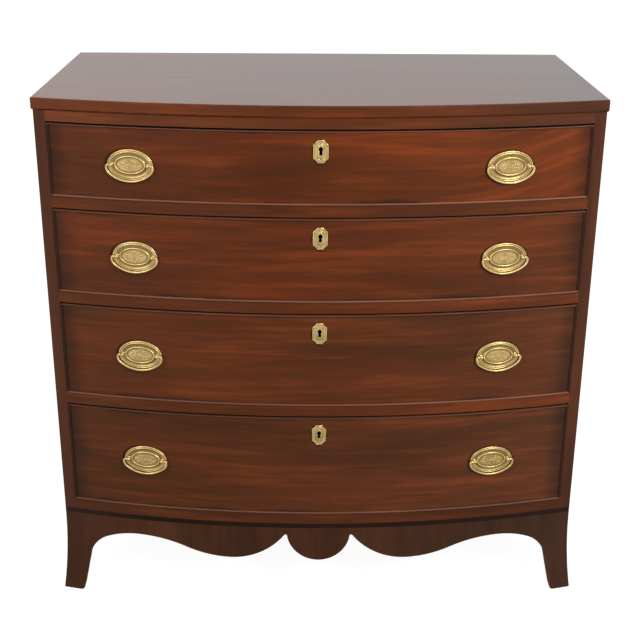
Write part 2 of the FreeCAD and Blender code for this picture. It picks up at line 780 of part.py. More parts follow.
def make_side_aprons():
    body = new_body("side_apron_right")
    body.setExpression("Placement.Base.y", bow_y.text)
    (in_x, in_y), (out_x, out_y) = mitre_corners()
    rear = case_back - bow_y
    inner = half_case - d.apron_thick
    section = new_sketch(body, "side_apron_section", "XZ_Plane", -rear)
    outline(section, (
        (half_case, case_base),
        (half_case, flare_tall, flare_radius, LEFT),
        (half_case + d.flare, dim(0)),
        (inner + d.flare, dim(0), flare_radius, RIGHT),
        (inner, flare_tall),
        (inner, case_base),
    ))
    pad(body, section, rear - out_y, "side_apron_board")
    shape = new_sketch(body, "side_apron_shape", "YZ_Plane")
    front_foot = foot_run(bow_y - corner_y, d.foot_in)
    rear_foot = foot_run(rear, d.foot_in + d.flare)
    outline(shape, mirrored_run(front_foot) + rear_foot)
    pocket(body, shape, None, "side_apron_shape_cut")
    mitre = new_sketch(body, "side_apron_mitre", "XY_Plane")
    ahead = out_y - d.apron_thick
    behind_x = in_x - d.apron_thick
    outline(mitre, ((in_x, in_y), (behind_x, in_y), (behind_x, ahead), (out_x, ahead), (out_x, out_y)))
    pocket(body, mitre, None, "side_apron_mitre_cut")
    node(group("side_aprons", [body, mirrored(body, "side_apron_left")]), "side_aprons")


def make_foot_blocks():
    """Brackets behind the rear feet, and the glue blocks inside the four corners."""
    inner = half_case - d.apron_thick
    peak, turn, knee, toe, sole, below = foot_run(half_case, d.foot_in)
    bracket = new_body("rear_bracket")
    sketch = new_sketch(bracket, "rear_bracket_shape", "XZ_Plane", -case_back)
    outline(sketch, (
        (inner, case_base),
        (inner, flare_tall, flare_radius, LEFT),
        (inner + d.flare, dim(0)),
        (sole[0], sole[1], d.tip_round, RIGHT),
        (toe[0], toe[1]),
        (knee[0], knee[1], d.knee_radius, LEFT),
        (turn[0], turn[1], d.arch_radius, LEFT),
        (peak[0], peak[1]),
        (peak[0], case_base),
    ))
    pad(bracket, sketch, d.bracket_thick, "rear_bracket_board")

    block_in = inner - d.block_wide
    inner_radius = case_radius - d.apron_thick
    touch_y = bow(inner_radius, inner)
    block = new_body("front_block")
    sketch = new_sketch(block, "front_block_plan", "XY_Plane", d.block_low)
    outline(sketch, (
        (inner, touch_y),
        (inner, touch_y + d.block_wide),
        (block_in, touch_y + d.block_wide),
        (block_in, bow(inner_radius, block_in)),
    ))
    pad(block, sketch, case_base - d.block_low, "front_block_post")
    rear_face = case_back - d.bracket_thick
    rear_block = board("rear_block", block_in, inner, rear_face - d.block_wide, rear_face,
                       d.block_low, case_base)
    right = [bracket, block, rear_block]
    left = [mirrored(piece, piece.Label + "_left") for piece in right]
    node(group("foot_blocks", right + left), "foot_blocks")


# ---- brass, modelled about its own seat: outward is -Y ----

def keyhole(sketch, z):
    """A round hole over a slot that widens downwards, its round centre at that height."""
    drop = root(d.key_round * d.key_round - d.key_slot * d.key_slot)
    outline(sketch, (
        (-d.key_slot, z - drop, d.key_round, RIGHT),
        (dim(0), z + d.key_round, d.key_round, RIGHT),
        (d.key_slot, z - drop),
        (d.key_foot, z - d.key_long),
        (-d.key_foot, z - d.key_long),
    ))


def make_pull_plate():
    """An oval of sheet brass with a raised rim, and an inner oval with a ring round a sunk field."""
    body = new_body("pull_plate")
    base = new_sketch(body, "pull_plate_oval", "XZ_Plane")
    oval(base, dim(0), d.oval_half_wide, d.oval_half_tall, d.oval_end)
    pad(body, base, d.oval_base, "pull_plate_sheet")
    boss = new_sketch(body, "pull_boss_oval", "XZ_Plane")
    oval(boss, dim(0), d.boss_half_wide, d.boss_half_tall, d.boss_end)
    inner = pad(body, boss, d.boss_tall, "pull_boss")
    dress(body, "Chamfer", inner, d.boss_slope, foremost(d.boss_tall), "pull_boss_slope")
    rim = new_sketch(body, "pull_plate_rim", "XZ_Plane")
    for inset in (dim(0), d.rim_wide):
        oval(rim, dim(0), d.oval_half_wide - inset, d.oval_half_tall - inset, d.oval_end - inset)
    pad(body, rim, d.rim_tall, "pull_plate_rim_bead")
    shrink = d.boss_slope + d.ring_wide
    field = new_sketch(body, "pull_field", "XZ_Plane", d.boss_tall)
    oval(field, dim(0), d.boss_half_wide - shrink, d.boss_half_tall - shrink, d.boss_end - shrink)
    pocket(body, field, d.field_deep, "pull_field_cut")
    holes = new_sketch(body, "pull_plate_holes", "XZ_Plane")
    for side in (-1, 1):
        circle(holes, d.post_out * side, 0, d.shank_radius + d.bore_play)
    pocket(body, holes, None, "pull_plate_hole_cut")
    return body


def make_post():
    """A turned post: knob, waist and flared collar outside, a shank through the drawer front."""
    body = new_body("bail_post")
    section = new_sketch(body, "post_section", "XY_Plane")
    nose = d.knob_radius / 2
    shank_end = d.front_thick + d.nut_gap + d.nut_tall + d.shank_spare
    outline(section, (
        (dim(0), -(d.hinge_out + d.knob_radius)),
        (nose, -(d.hinge_out + d.knob_radius)),
        (d.knob_radius, -(d.hinge_out + nose)),
        (d.knob_radius, nose - d.hinge_out),
        (d.neck_radius, d.knob_radius - d.hinge_out),
        (d.collar_radius, -d.oval_base),
        (d.shank_radius, -d.oval_base),
        (d.shank_radius, shank_end),
        (dim(0), shank_end),
    ))
    turned = feature(body, "Revolution", "post_turning", section)
    turned.ReferenceAxis = (section, ["V_Axis"])
    turned.Angle = 360
    eye = new_sketch(body, "post_eye", "YZ_Plane")
    circle(eye, -d.hinge_out, 0, d.pin_radius + d.pin_clear)
    pocket(body, eye, None, "post_eye_cut")
    return body


def make_nut():
    prism = doc.addObject("Part::Prism", "nut_blank")
    prism.Polygon = 6
    hole = doc.addObject("Part::Cylinder", "nut_hole")
    prism.setExpression("Circumradius", d.nut_radius.text)
    hole.setExpression("Radius", (d.shank_radius + d.pin_clear).text)
    for item in (prism, hole):
        item.Placement = Placement(Vector(0, 0, 0), Rotation(Vector(1, 0, 0), -90))
        item.setExpression("Placement.Base.y", (d.front_thick + d.nut_gap).text)
        item.setExpression("Height", d.nut_tall.text)
    nut = doc.addObject("Part::Cut", "nut")
    nut.Base = prism
    nut.Tool = hole
    return nut


def make_bail():
    """A rod bent to the lower half of an oval, its ends turned in to the posts."""
    body = new_body("bail")
    shoulder = d.post_out + d.knob_radius + d.arm_gap
    oval_drop = d.bail_drop - d.bail_corner
    across = d.bail_half_wide - d.bail_end_radius
    belly = ((across * across + oval_drop * oval_drop - d.bail_end_radius * d.bail_end_radius)
             / ((oval_drop - d.bail_end_radius) * 2))
    join_x = across + d.bail_end_radius * across / (belly - d.bail_end_radius)
    join_z = -(d.bail_corner + d.bail_end_radius * (belly - oval_drop) / (belly - d.bail_end_radius))
    right = [
        (join_x, join_z, d.bail_end_radius, LEFT),
        (d.bail_half_wide, -d.bail_corner, d.bail_corner, LEFT),
        (d.bail_half_wide - d.bail_corner, dim(0)),
        (shoulder, dim(0)),
    ]
    path = new_sketch(body, "bail_path", "XZ_Plane", d.hinge_out)
    outline(path, mirrored_run(right)[:-1] + [(-join_x, join_z, belly, LEFT)] + right, closed=False)
    section = new_sketch(body, "bail_section", "YZ_Plane", -shoulder)
    octagon(section, -d.hinge_out, d.rod_radius)
    pipe = feature(body, "AdditivePipe", "bail_rod", section)
    pipe.Spine = (path, [])
    for side in (-1, 1):
        pin = new_sketch(body, "bail_pin_%d" % (side + 2), "YZ_Plane", shoulder * side)
        circle(pin, -d.hinge_out, 0, d.pin_radius)
        long = d.knob_radius + d.arm_gap + d.pin_in
        pad(body, pin, long, "bail_pin_rod_%d" % (side + 2), backwards=side > 0)
    return body


def make_bore():
    """What is drilled through a drawer front for a post."""
    bore = doc.addObject("Part::Cylinder", "post_bore")
    bore.setExpression("Radius", (d.shank_radius + d.bore_play).text)
    bore.setExpression("Height", (d.front_thick * 2).text)
    bore.Placement = Placement(Vector(0, 0, 0), Rotation(Vector(1, 0, 0), -90))
    bore.setExpression("Placement.Base.y", (-d.front_thick / 2).text)
    return bore


def pair(source, label):
    """A piece at both posts of a pull."""
    pieces = [placed(source, "%s_%d" % (label, side + 2), d.post_out * side, 0, 0) for side in (-1, 1)]
    return group(label, pieces)


pull_plate = make_pull_plate()
pull_posts = group("pull_post_set", [pair(make_post(), "pull_posts"), pair(make_nut(), "pull_nuts")])
pull_bail = make_bail()
pull_bores = pair(make_bore(), "pull_bores")


# ---- drawers ----

def tail(sketch, root_y, end_y, z):
    """One dovetail, seen from the side of the drawer: wide at its end."""
    half = d.tail_wide / 2
    wide = half + d.tail_splay
    outline(sketch, ((root_y, z - half), (end_y, z - wide), (end_y, z + wide), (root_y, z + half)))


def tail_row(low, high):
    """How many dovetails fit this height, the first one's middle, and their reach."""
    count = max(2, round((high.number - low.number) / d.tail_pitch.number))
    pitch = (high - low) / count
    return count, low + pitch / 2, pitch * (count - 1)


def make_drawer_front(name, low, high, side_top, key_z):
    body = new_body(name + "_front_blank")
    plan = new_sketch(body, name + "_core_plan", "XY_Plane", low)
    half = [
        (half_front, bow(core_radius, half_front)),
        (half_front, land_y),
        (box_in, land_y, hollow_radius, RIGHT),
    ]
    outline(plan, [(-half_front, bow(core_radius, half_front), core_radius, LEFT)] + half
            + [(-box_in, land_y), (-half_front, land_y)])
    pad(body, plan, high - low, name + "_core")

    face = new_sketch(body, name + "_face_plan", "XY_Plane", low + d.bead_thick)
    edge = half_front - d.bead_thick
    middle = case_radius - d.front_thick / 2
    outline(face, (
        (-edge, bow(case_radius, edge), case_radius, LEFT),
        (edge, bow(case_radius, edge)),
        (edge, bow(middle, edge), middle, RIGHT),
        (-edge, bow(middle, edge)),
    ))
    pad(body, face, high - low - d.bead_thick * 2, name + "_face")

    count, first, reach = tail_row(low, side_top)
    for side in (-1, 1):
        tag = "%s_socket_%d" % (name, side + 2)
        socket = new_sketch(body, tag, "YZ_Plane", half_front * side)
        tail(socket, land_y, tail_y, first)
        cut = pocket(body, socket, d.drawer_side, tag + "_cut", along=side < 0)
        row_of(body, cut, socket, count, reach, tag + "_row")

    groove = new_sketch(body, name + "_front_groove", "XY_Plane", low + d.bottom_up)
    groove_x = box_in + d.groove_in
    groove_radius = hollow_radius + d.groove_in
    groove_y = bow(groove_radius, groove_x)
    outline(groove, (
        (-groove_x, groove_y, groove_radius, LEFT),
        (groove_x, groove_y),
        (groove_x, land_y + d.front_thick),
        (-groove_x, land_y + d.front_thick),
    ))
    pocket(body, groove, d.bottom_thick, name + "_front_groove_cut", along=True)

    recess = new_sketch(body, name + "_lock_recess", "XZ_Plane", -lock_y)
    rectangle(recess, -d.lock_wide / 2, d.lock_wide / 2, high - d.lock_tall, high)
    pocket(body, recess, d.front_thick, name + "_lock_recess_cut")
    hole = new_sketch(body, name + "_keyhole", "XZ_Plane", -front_y)
    keyhole(hole, key_z)
    pocket(body, hole, None, name + "_keyhole_cut")
    return body


def make_drawer_sides(name, low, side_top, back_low):
    body = new_body(name + "_side_right")
    shape = new_sketch(body, name + "_side_shape", "YZ_Plane", box_in)
    shoulder = rear_y - d.drawer_back
    outline(shape, (
        (land_y, low),
        (rear_y, low),
        (rear_y, back_low),
        (shoulder, back_low),
        (shoulder, side_top),
        (land_y, side_top),
    ))
    pad(body, shape, d.drawer_side, name + "_side_board")
    joints = (("front", land_y, tail_y, low), ("rear", shoulder, rear_y, back_low))
    for end, root_y, end_y, bottom in joints:
        count, first, reach = tail_row(bottom, side_top)
        tag = "%s_%s_tail" % (name, end)
        sketch = new_sketch(body, tag, "YZ_Plane", box_in)
        tail(sketch, root_y, end_y, first)
        row_of(body, pad(body, sketch, d.drawer_side, tag + "_pad"), sketch, count, reach, tag + "_row")
    groove = new_sketch(body, name + "_side_groove", "YZ_Plane", box_in)
    rectangle(groove, tail_y, rear_y, low + d.bottom_up, back_low)
    pocket(body, groove, d.groove_in, name + "_side_groove_cut", along=True)
    return group(name + "_sides", [body, mirrored(body, name + "_side_left")])


def make_drawer_back(name, side_top, back_low):
    body = new_body(name + "_back")
    shoulder = rear_y - d.drawer_back
    plan = new_sketch(body, name + "_back_plan", "XY_Plane", back_low)
    rectangle(plan, -half_front, half_front, shoulder, rear_y)
    pad(body, plan, side_top - back_low, name + "_back_board")
    count, first, reach = tail_row(back_low, side_top)
    for side in (-1, 1):
        tag = "%s_back_socket_%d" % (name, side + 2)
        socket = new_sketch(body, tag, "YZ_Plane", half_front * side)
        tail(socket, shoulder, rear_y, first)
        cut = pocket(body, socket, d.drawer_side, tag + "_cut", along=side < 0)
        row_of(body, cut, socket, count, reach, tag + "_row")
    return body


def make_drawer_bottom(name, low):
    body = new_body(name + "_bottom")
    plan = new_sketch(body, name + "_bottom_plan", "XY_Plane", low + d.bottom_up)
    edge = box_in + d.groove_in - d.panel_play
    radius = hollow_radius + d.groove_in - d.panel_play
    outline(plan, (
        (-edge, bow(radius, edge), radius, LEFT),
        (edge, bow(radius, edge)),
        (edge, rear_y),
        (-edge, rear_y),
    ))
    pad(body, plan, d.bottom_thick, name + "_bottom_board")
    return body


def bead_strip(tag, x_low, x_high, z_low, z_high):
    """One strip of cockbead on the bow, with its nose sloped off on both sides."""
    body = new_body(tag)
    nose = case_radius + d.bead_proud
    plan = new_sketch(body, tag + "_plan", "XY_Plane", z_low)
    outline(plan, (
        (x_low, bow(nose, x_low), nose, LEFT),
        (x_high, bow(nose, x_high)),
        (x_high, bow(core_radius, x_high), core_radius, RIGHT),
        (x_low, bow(core_radius, x_low)),
    ))
    strip = pad(body, plan, z_high - z_low, tag + "_strip")

    def on_nose(edge):
        reaches = [math.hypot(spot.X, spot.Y - bow_y.number) for spot in edge.Vertexes]
        return edge.Length > d.bead_thick.number * 3 and min(reaches) > nose.number - 0.01

    dress(body, "Chamfer", strip, d.bead_slope, on_nose, tag + "_nose")
    return body


def mitre(sketch, side, inner, outer, corner_x, corner_z):
    """A triangle past the mitre line of two beads, drawn out over its ends."""
    reach = outer - inner
    edge = half_front - d.bead_thick
    tip = ((edge - d.bead_thick) * side, inner - reach)
    foot = ((half_front + d.bead_thick) * side, outer + reach)
    outline(sketch, (tip, foot, (foot[0] if corner_x else tip[0], foot[1] if corner_z else tip[1])))


def make_cockbead(name, low, high):
    """Four mitred strips, let in round the drawer front."""
    strips = []
    ends = ((low + d.bead_thick, low), (high - d.bead_thick, high))
    for end, (inner, outer) in zip(("low", "high"), ends):
        tag = "%s_bead_%s" % (name, end)
        bottom, top = (outer, inner) if end == "low" else (inner, outer)
        body = bead_strip(tag, -half_front, half_front, bottom, top)
        cut = new_sketch(body, tag + "_mitre", "XZ_Plane")
        for side in (-1, 1):
            mitre(cut, side, inner, outer, corner_x=True, corner_z=False)
        pocket(body, cut, None, tag + "_mitre_cut")
        strips.append(body)

    tag = name + "_bead_side"
    body = bead_strip(tag, half_front - d.bead_thick, half_front, low, high)
    cut = new_sketch(body, tag + "_mitre", "XZ_Plane")
    for inner, outer in ends:
        mitre(cut, 1, inner, outer, corner_x=False, corner_z=True)
    pocket(body, cut, None, tag + "_mitre_cut")
    return group(name + "_cockbeads", strips + [body, mirrored(body, tag + "_left")])


def make_lock(name, high, key_z):
    body = new_body(name + "_lock")
    plan = new_sketch(body, name + "_lock_plan", "XY_Plane", high - d.lock_tall)
    rectangle(plan, -d.lock_wide / 2, d.lock_wide / 2, lock_y, front_y + d.front_thick)
    pad(body, plan, d.lock_tall, name + "_lock_case")
    slot = new_sketch(body, name + "_lock_slot", "XY_Plane", high)
    half_wide = d.bolt_wide / 2 + d.bolt_play
    rectangle(slot, -half_wide, half_wide, bolt_y - d.bolt_play, bolt_y + d.bolt_thick + d.bolt_play)
    pocket(body, slot, d.bolt_tall + d.bolt_play, name + "_lock_slot_cut")
    keyway = new_sketch(body, name + "_keyway", "XZ_Plane", -lock_y)
    keyhole(keyway, key_z)
    pocket(body, keyway, d.keyway_deep, name + "_keyway_cut")
    return body


def make_escutcheon(name, middle_z, key_z):
    body = new_body(name + "_escutcheon")
    shape = new_sketch(body, name + "_escutcheon_shape", "XZ_Plane", -front_y)
    wide = d.plate_half_wide
    short = wide - d.notch_wide
    top = middle_z + d.plate_half_tall
    foot = middle_z - d.plate_half_tall
    outline(shape, (
        (-short, foot),
        (short, foot, d.notch_radius, RIGHT),
        (wide, foot + d.notch_tall),
        (wide, top - d.notch_tall, d.notch_radius, RIGHT),
        (short, top),
        (-short, top, d.notch_radius, RIGHT),
        (-wide, top - d.notch_tall),
        (-wide, foot + d.notch_tall, d.notch_radius, RIGHT),
    ))
    pad(body, shape, d.plate_thick, name + "_escutcheon_sheet")
    field = new_sketch(body, name + "_dome_oval", "XZ_Plane", -front_y)
    oval(field, middle_z, wide - d.dome_inset, d.plate_half_tall - d.dome_inset, d.dome_end)
    dome = pad(body, field, d.plate_thick + d.dome_tall, name + "_dome")
    crown = d.plate_thick + d.dome_tall - front_y
    dress(body, "Chamfer", dome, d.dome_slope, foremost(crown), name + "_dome_slope")
    hole = new_sketch(body, name + "_escutcheon_keyhole", "XZ_Plane", -front_y)
    keyhole(hole, key_z)
    pocket(body, hole, None, name + "_escutcheon_keyhole_cut")
    return body


def make_drawer(number):
    name = "drawer_%d" % number
    low = floors[number] + d.run_clear
    high = roofs[number] - d.gap_top
    side_top = high - d.side_drop
    back_low = low + d.bottom_up + d.bottom_thick
    plate_z = roofs[number] - d.key_down
    key_z = plate_z + d.key_rise
    pull_z = (floors[number] + roofs[number]) / 2 - getattr(d, "pull_drop_%d" % number)
    pull_y = bow(case_radius, pull_apart)
    pull_turn = arcsine(pull_apart / case_radius)

    def at_pulls(source, label):
        """A pull's piece at both ends of the drawer, square to the bow there."""
        spots = ((("left", -1), ("right", 1)))
        return [placed(source, "%s_%s" % (label, word), pull_apart * side, pull_y, pull_z, pull_turn * side)
                for word, side in spots]

    front = doc.addObject("Part::Cut", name + "_front")
    front.Base = make_drawer_front(name, low, high, side_top, key_z)
    front.Tool = group(name + "_bores", at_pulls(pull_bores, name + "_bore"))
    node(front, name + "_front")
    node(make_drawer_sides(name, low, side_top, back_low), name + "_sides")
    node(make_drawer_back(name, side_top, back_low), name + "_back")
    node(make_drawer_bottom(name, low), name + "_bottom")
    node(make_cockbead(name, low, high), name + "_cockbeads")
    node(group(name + "_pull_plates", at_pulls(pull_plate, name + "_pull_plate")), name + "_pull_plates")
    node(group(name + "_pull_posts", at_pulls(pull_posts, name + "_pull_post")), name + "_pull_posts")
    for bail in at_pulls(pull_bail, name + "_bail"):
        node(bail, bail.Label)
    node(make_escutcheon(name, plate_z, key_z), name + "_escutcheon")
    node(make_lock(name, high, key_z), name + "_lock")
    half_bolt = d.bolt_wide / 2
    node(board(name + "_lock_bolt", -half_bolt, half_bolt, bolt_y, bolt_y + d.bolt_thick,
               high - d.bolt_tall, high), name + "_lock_bolt")


make_top_board()
make_case_sides()
make_case_frames()
make_back()
make_band()
make_apron_front()
make_side_aprons()
make_foot_blocks()
for number in (1, 2, 3, 4):
    make_drawer(number)
doc.recompute()

# ---- checks, then one file for each node ----

for item in doc.Objects:
    if "Invalid" in item.State or "Error" in item.State:
        raise RuntimeError("failed feature: %s %s" % (item.Name, item.State))
for cut in cuts:
    if cut.Shape.Volume > cut.BaseFeature.Shape.Volume - 1:
        raise RuntimeError("cut that removes nothing: " + cut.Name)
os.makedirs("parts", exist_ok=True)
for item in nodes:
    if item.Shape.isNull() or not item.Shape.isValid() or not item.Shape.Solids:
        raise RuntimeError("bad shape: " + item.Label)
    item.Shape.exportStep("parts/%s.step" % item.Label)
    print(item.Label, len(item.Shape.Solids), "solids, %.1f cm3" % (item.Shape.Volume / 1000))
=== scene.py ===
import json
import math
import bpy
from mathutils import Matrix, Vector


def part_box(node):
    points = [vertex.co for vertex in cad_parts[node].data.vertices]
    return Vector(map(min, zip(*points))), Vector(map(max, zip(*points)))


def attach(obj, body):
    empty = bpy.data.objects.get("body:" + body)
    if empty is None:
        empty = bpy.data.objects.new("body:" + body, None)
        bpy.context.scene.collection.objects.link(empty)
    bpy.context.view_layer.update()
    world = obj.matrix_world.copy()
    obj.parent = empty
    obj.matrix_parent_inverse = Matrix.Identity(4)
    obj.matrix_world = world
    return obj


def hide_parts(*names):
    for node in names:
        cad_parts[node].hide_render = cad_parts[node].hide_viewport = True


# Bow front chest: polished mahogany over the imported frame, with lacquered brass built here.

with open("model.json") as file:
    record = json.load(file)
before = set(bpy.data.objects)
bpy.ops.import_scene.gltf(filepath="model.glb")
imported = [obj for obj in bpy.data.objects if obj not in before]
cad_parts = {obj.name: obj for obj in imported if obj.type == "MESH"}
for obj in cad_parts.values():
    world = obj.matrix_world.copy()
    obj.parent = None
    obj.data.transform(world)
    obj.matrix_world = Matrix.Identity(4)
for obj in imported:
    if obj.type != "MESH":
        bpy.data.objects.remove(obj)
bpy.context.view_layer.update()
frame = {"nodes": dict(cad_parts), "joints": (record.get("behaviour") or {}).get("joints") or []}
nodes = frame["nodes"]
mm = 0.001
drawerNumbers = (1, 2, 3, 4)
print("frame loaded,", len(nodes), "nodes")


def deselectAll():
    if bpy.context.object and bpy.context.object.mode != "OBJECT":
        bpy.ops.object.mode_set(mode="OBJECT")
    bpy.ops.object.select_all(action="DESELECT")


def keepAs(name):  # names the new primitive and writes its place into its mesh
    piece = bpy.context.object
    piece.name = name
    piece.data.name = name
    bpy.ops.object.transform_apply(location=True, rotation=True, scale=True)
    return piece


def resizeAll(piece, size):
    openEdit(piece)
    bpy.ops.mesh.select_all(action="SELECT")
    bpy.ops.transform.resize(value=size, center_override=(0, 0, 0))


def openEdit(piece, kind="FACE"):
    deselectAll()
    piece.select_set(True)
    bpy.context.view_layer.objects.active = piece
    bpy.ops.object.mode_set(mode="EDIT")
    bpy.ops.mesh.select_mode(type=kind)


def pickVertices(piece, wanted):  # leaves edit mode, selects by place, and comes back
    bpy.ops.object.mode_set(mode="OBJECT")
    for part in (piece.data.polygons, piece.data.edges):
        for item in part:
            item.select = False
    for vertex in piece.data.vertices:
        vertex.select = wanted(vertex.co)
    bpy.ops.object.mode_set(mode="EDIT")
    bpy.ops.mesh.select_mode(type="VERT")


def closeEdit(piece, smoothTo=35):  # outward normals, then shading by angle
    bpy.ops.mesh.select_all(action="SELECT")
    bpy.ops.mesh.normals_make_consistent(inside=False)
    bpy.ops.object.mode_set(mode="OBJECT")
    bpy.ops.object.shade_smooth_by_angle(angle=math.radians(smoothTo))
    deselectAll()
    return piece


def cutInto(piece, cutter):
    deselectAll()
    piece.select_set(True)
    bpy.context.view_layer.objects.active = piece
    tool = piece.modifiers.new("cut", "BOOLEAN")
    tool.operation = "DIFFERENCE"
    tool.solver = "EXACT"
    tool.use_self = True
    tool.object = cutter
    bpy.ops.object.modifier_apply(modifier="cut")


def joinInto(piece, others):
    deselectAll()
    for item in [piece] + others:
        item.select_set(True)
    bpy.context.view_layer.objects.active = piece
    bpy.ops.object.join()
    deselectAll()
    return piece


def copyTo(source, name, place):  # a copy with its own mesh, its place in the mesh
    copy = bpy.data.objects.new(name, source.data.copy())
    copy.data.name = name
    copy.data.transform(place)
    bpy.context.scene.collection.objects.link(copy)
    return copy


def ringedOval(name, sides, rings):  # an oval sheet, ring by ring: half wide, half tall, how far out, in mm
    deselectAll()
    bpy.ops.mesh.primitive_circle_add(vertices=sides, radius=1, fill_type="NGON",
                                      rotation=(math.pi / 2, 0, 0))
    piece = keepAs(name)
    wide, tall = rings[0][:2]
    out = 0.0
    resizeAll(piece, (wide * mm, 1, tall * mm))
    for nextWide, nextTall, nextOut in rings:
        bpy.ops.mesh.extrude_region_move(TRANSFORM_OT_translate={"value": (0, (out - nextOut) * mm, 0)})
        bpy.ops.transform.resize(value=(nextWide / wide, 1, nextTall / tall), center_override=(0, 0, 0))
        wide, tall, out = nextWide, nextTall, nextOut
    return piece


def turned(name, rings):  # rings of (y, radius) along Y, closed at both ends
    deselectAll()
    y, radius = rings[0]
    bpy.ops.mesh.primitive_circle_add(vertices=24, radius=radius, fill_type="NGON",
                                      rotation=(math.pi / 2, 0, 0), location=(0, y, 0))
    piece = keepAs(name)
    openEdit(piece)
    bpy.ops.mesh.select_all(action="SELECT")
    for nextY, nextRadius in rings[1:]:
        ratio = nextRadius / radius
        bpy.ops.mesh.extrude_region_move(TRANSFORM_OT_translate={"value": (0, nextY - y, 0)})
        bpy.ops.transform.resize(value=(ratio, 1, ratio), center_override=(0, nextY, 0))
        y, radius = nextY, nextRadius
    return closeEdit(piece)


def link(tree, source, target):
    tree.links.new(source, target)


def addNode(tree, kind, spot, **values):
    item = tree.nodes.new(kind)
    item.location = spot
    for key, value in values.items():
        setattr(item, key, value)
    return item


def feed(tree, socket, value):  # a fixed value, or what another node gives
    if isinstance(value, (int, float, tuple)):
        socket.default_value = value
    else:
        link(tree, value, socket)


def mathNode(tree, spot, operation, first, second=None, third=None):
    item = addNode(tree, "ShaderNodeMath", spot, operation=operation)
    for socket, value in zip(item.inputs, (first, second, third)):
        if value is not None:
            feed(tree, socket, value)
    return item.outputs[0]


def splitAxes(tree, vector, spot):  # the X, Y and Z of a place
    item = addNode(tree, "ShaderNodeSeparateXYZ", spot)
    link(tree, vector, item.inputs["Vector"])
    return item.outputs


def newGroup(name, outputs, **inputs):  # a place and the named numbers go in, numbers come out
    tree = bpy.data.node_groups.new(name, "ShaderNodeTree")
    tree.interface.new_socket(name="Vector", in_out="INPUT", socket_type="NodeSocketVector")
    for label, value in inputs.items():
        socket = tree.interface.new_socket(name=label, in_out="INPUT", socket_type="NodeSocketFloat")
        socket.default_value = value
    for label in outputs:
        tree.interface.new_socket(name=label, in_out="OUTPUT", socket_type="NodeSocketFloat")
    start = addNode(tree, "NodeGroupInput", (-900, 0))
    end = addNode(tree, "NodeGroupOutput", (900, 0))
    return tree, start, end


def stretchedNoise(tree, vector, spot, scale, detail, roughness, distortion=0.0):
    mapping = addNode(tree, "ShaderNodeMapping", (spot[0] - 200, spot[1]))
    mapping.inputs["Scale"].default_value = scale
    link(tree, vector, mapping.inputs["Vector"])
    noise = addNode(tree, "ShaderNodeTexNoise", spot)
    link(tree, mapping.outputs["Vector"], noise.inputs["Vector"])
    for label, value in (("Scale", 1.0), ("Detail", detail), ("Roughness", roughness),
                         ("Distortion", distortion)):
        noise.inputs[label].default_value = value
    return noise.outputs["Fac"]


def ramp(tree, source, spot, low, high, first=0.0, last=1.0, smooth=False):  # first at low, last at high
    item = addNode(tree, "ShaderNodeMapRange", spot)
    if smooth:
        item.interpolation_type = "SMOOTHSTEP"
    for label, value in (("Value", source), ("From Min", low), ("From Max", high),
                         ("To Min", first), ("To Max", last)):
        feed(tree, item.inputs[label], value)
    return item.outputs["Result"]


grainSpec = {  # scale along, across and into the wood, then detail, roughness and distortion
    "sway": ((1.6, 4.0, 4.0), 1, 0.5),
    "clouds": ((2.4, 12.0, 9.0), 3, 0.55, 0.1),
    "streaks": ((4.6, 66.0, 40.0), 4, 0.6),
    "smoke": ((2.4, 22.0, 30.0), 4, 0.6, 0.1),
    "lines": ((12.0, 480.0, 260.0), 3, 0.6),
    "pores": ((85.0, 1700.0, 900.0), 2, 0.5),
    "gather": 0.6,  # how far the streaks keep to the lighter parts
}
grainSpans = {  # noise levels: where a mark starts, and where it is full
    "clouds": (0.36, 0.64),
    "streaks": (0.47, 0.70),
    "smoke": (0.50, 0.72),
    "pores": (0.60, 0.72),
}


def makeGrainGroup():  # grain runs along the first axis of the vector given
    tree, start, end = newGroup("woodGrain", ("Clouds", "Streaks", "Smoke", "Lines", "Pores"), Wander=0.06)
    vector = start.outputs["Vector"]
    sway = stretchedNoise(tree, vector, (-500, 300), *grainSpec["sway"])
    swing = mathNode(tree, (-300, 300), "MULTIPLY",
                     mathNode(tree, (-400, 300), "SUBTRACT", sway, 0.5), start.outputs["Wander"])
    offset = addNode(tree, "ShaderNodeCombineXYZ", (-200, 300))
    link(tree, swing, offset.inputs["Y"])
    moved = addNode(tree, "ShaderNodeVectorMath", (-100, 200), operation="ADD")
    link(tree, vector, moved.inputs[0])
    link(tree, offset.outputs["Vector"], moved.inputs[1])
    wavy = moved.outputs["Vector"]
    masks = {}
    rows = (("clouds", 300), ("streaks", 100), ("smoke", 500), ("lines", -100), ("pores", -300))
    for label, height in rows:
        masks[label] = stretchedNoise(tree, wavy, (200, height), *grainSpec[label])
        if label in grainSpans:
            masks[label] = ramp(tree, masks[label], (420, height), *grainSpans[label])
    share = grainSpec["gather"]
    gather = mathNode(tree, (560, 200), "MULTIPLY_ADD", masks["clouds"], share, 1.0 - share)
    masks["streaks"] = mathNode(tree, (700, 100), "MULTIPLY", masks["streaks"], gather)
    for label, mask in masks.items():
        link(tree, mask, end.inputs[label.capitalize()])
    return tree


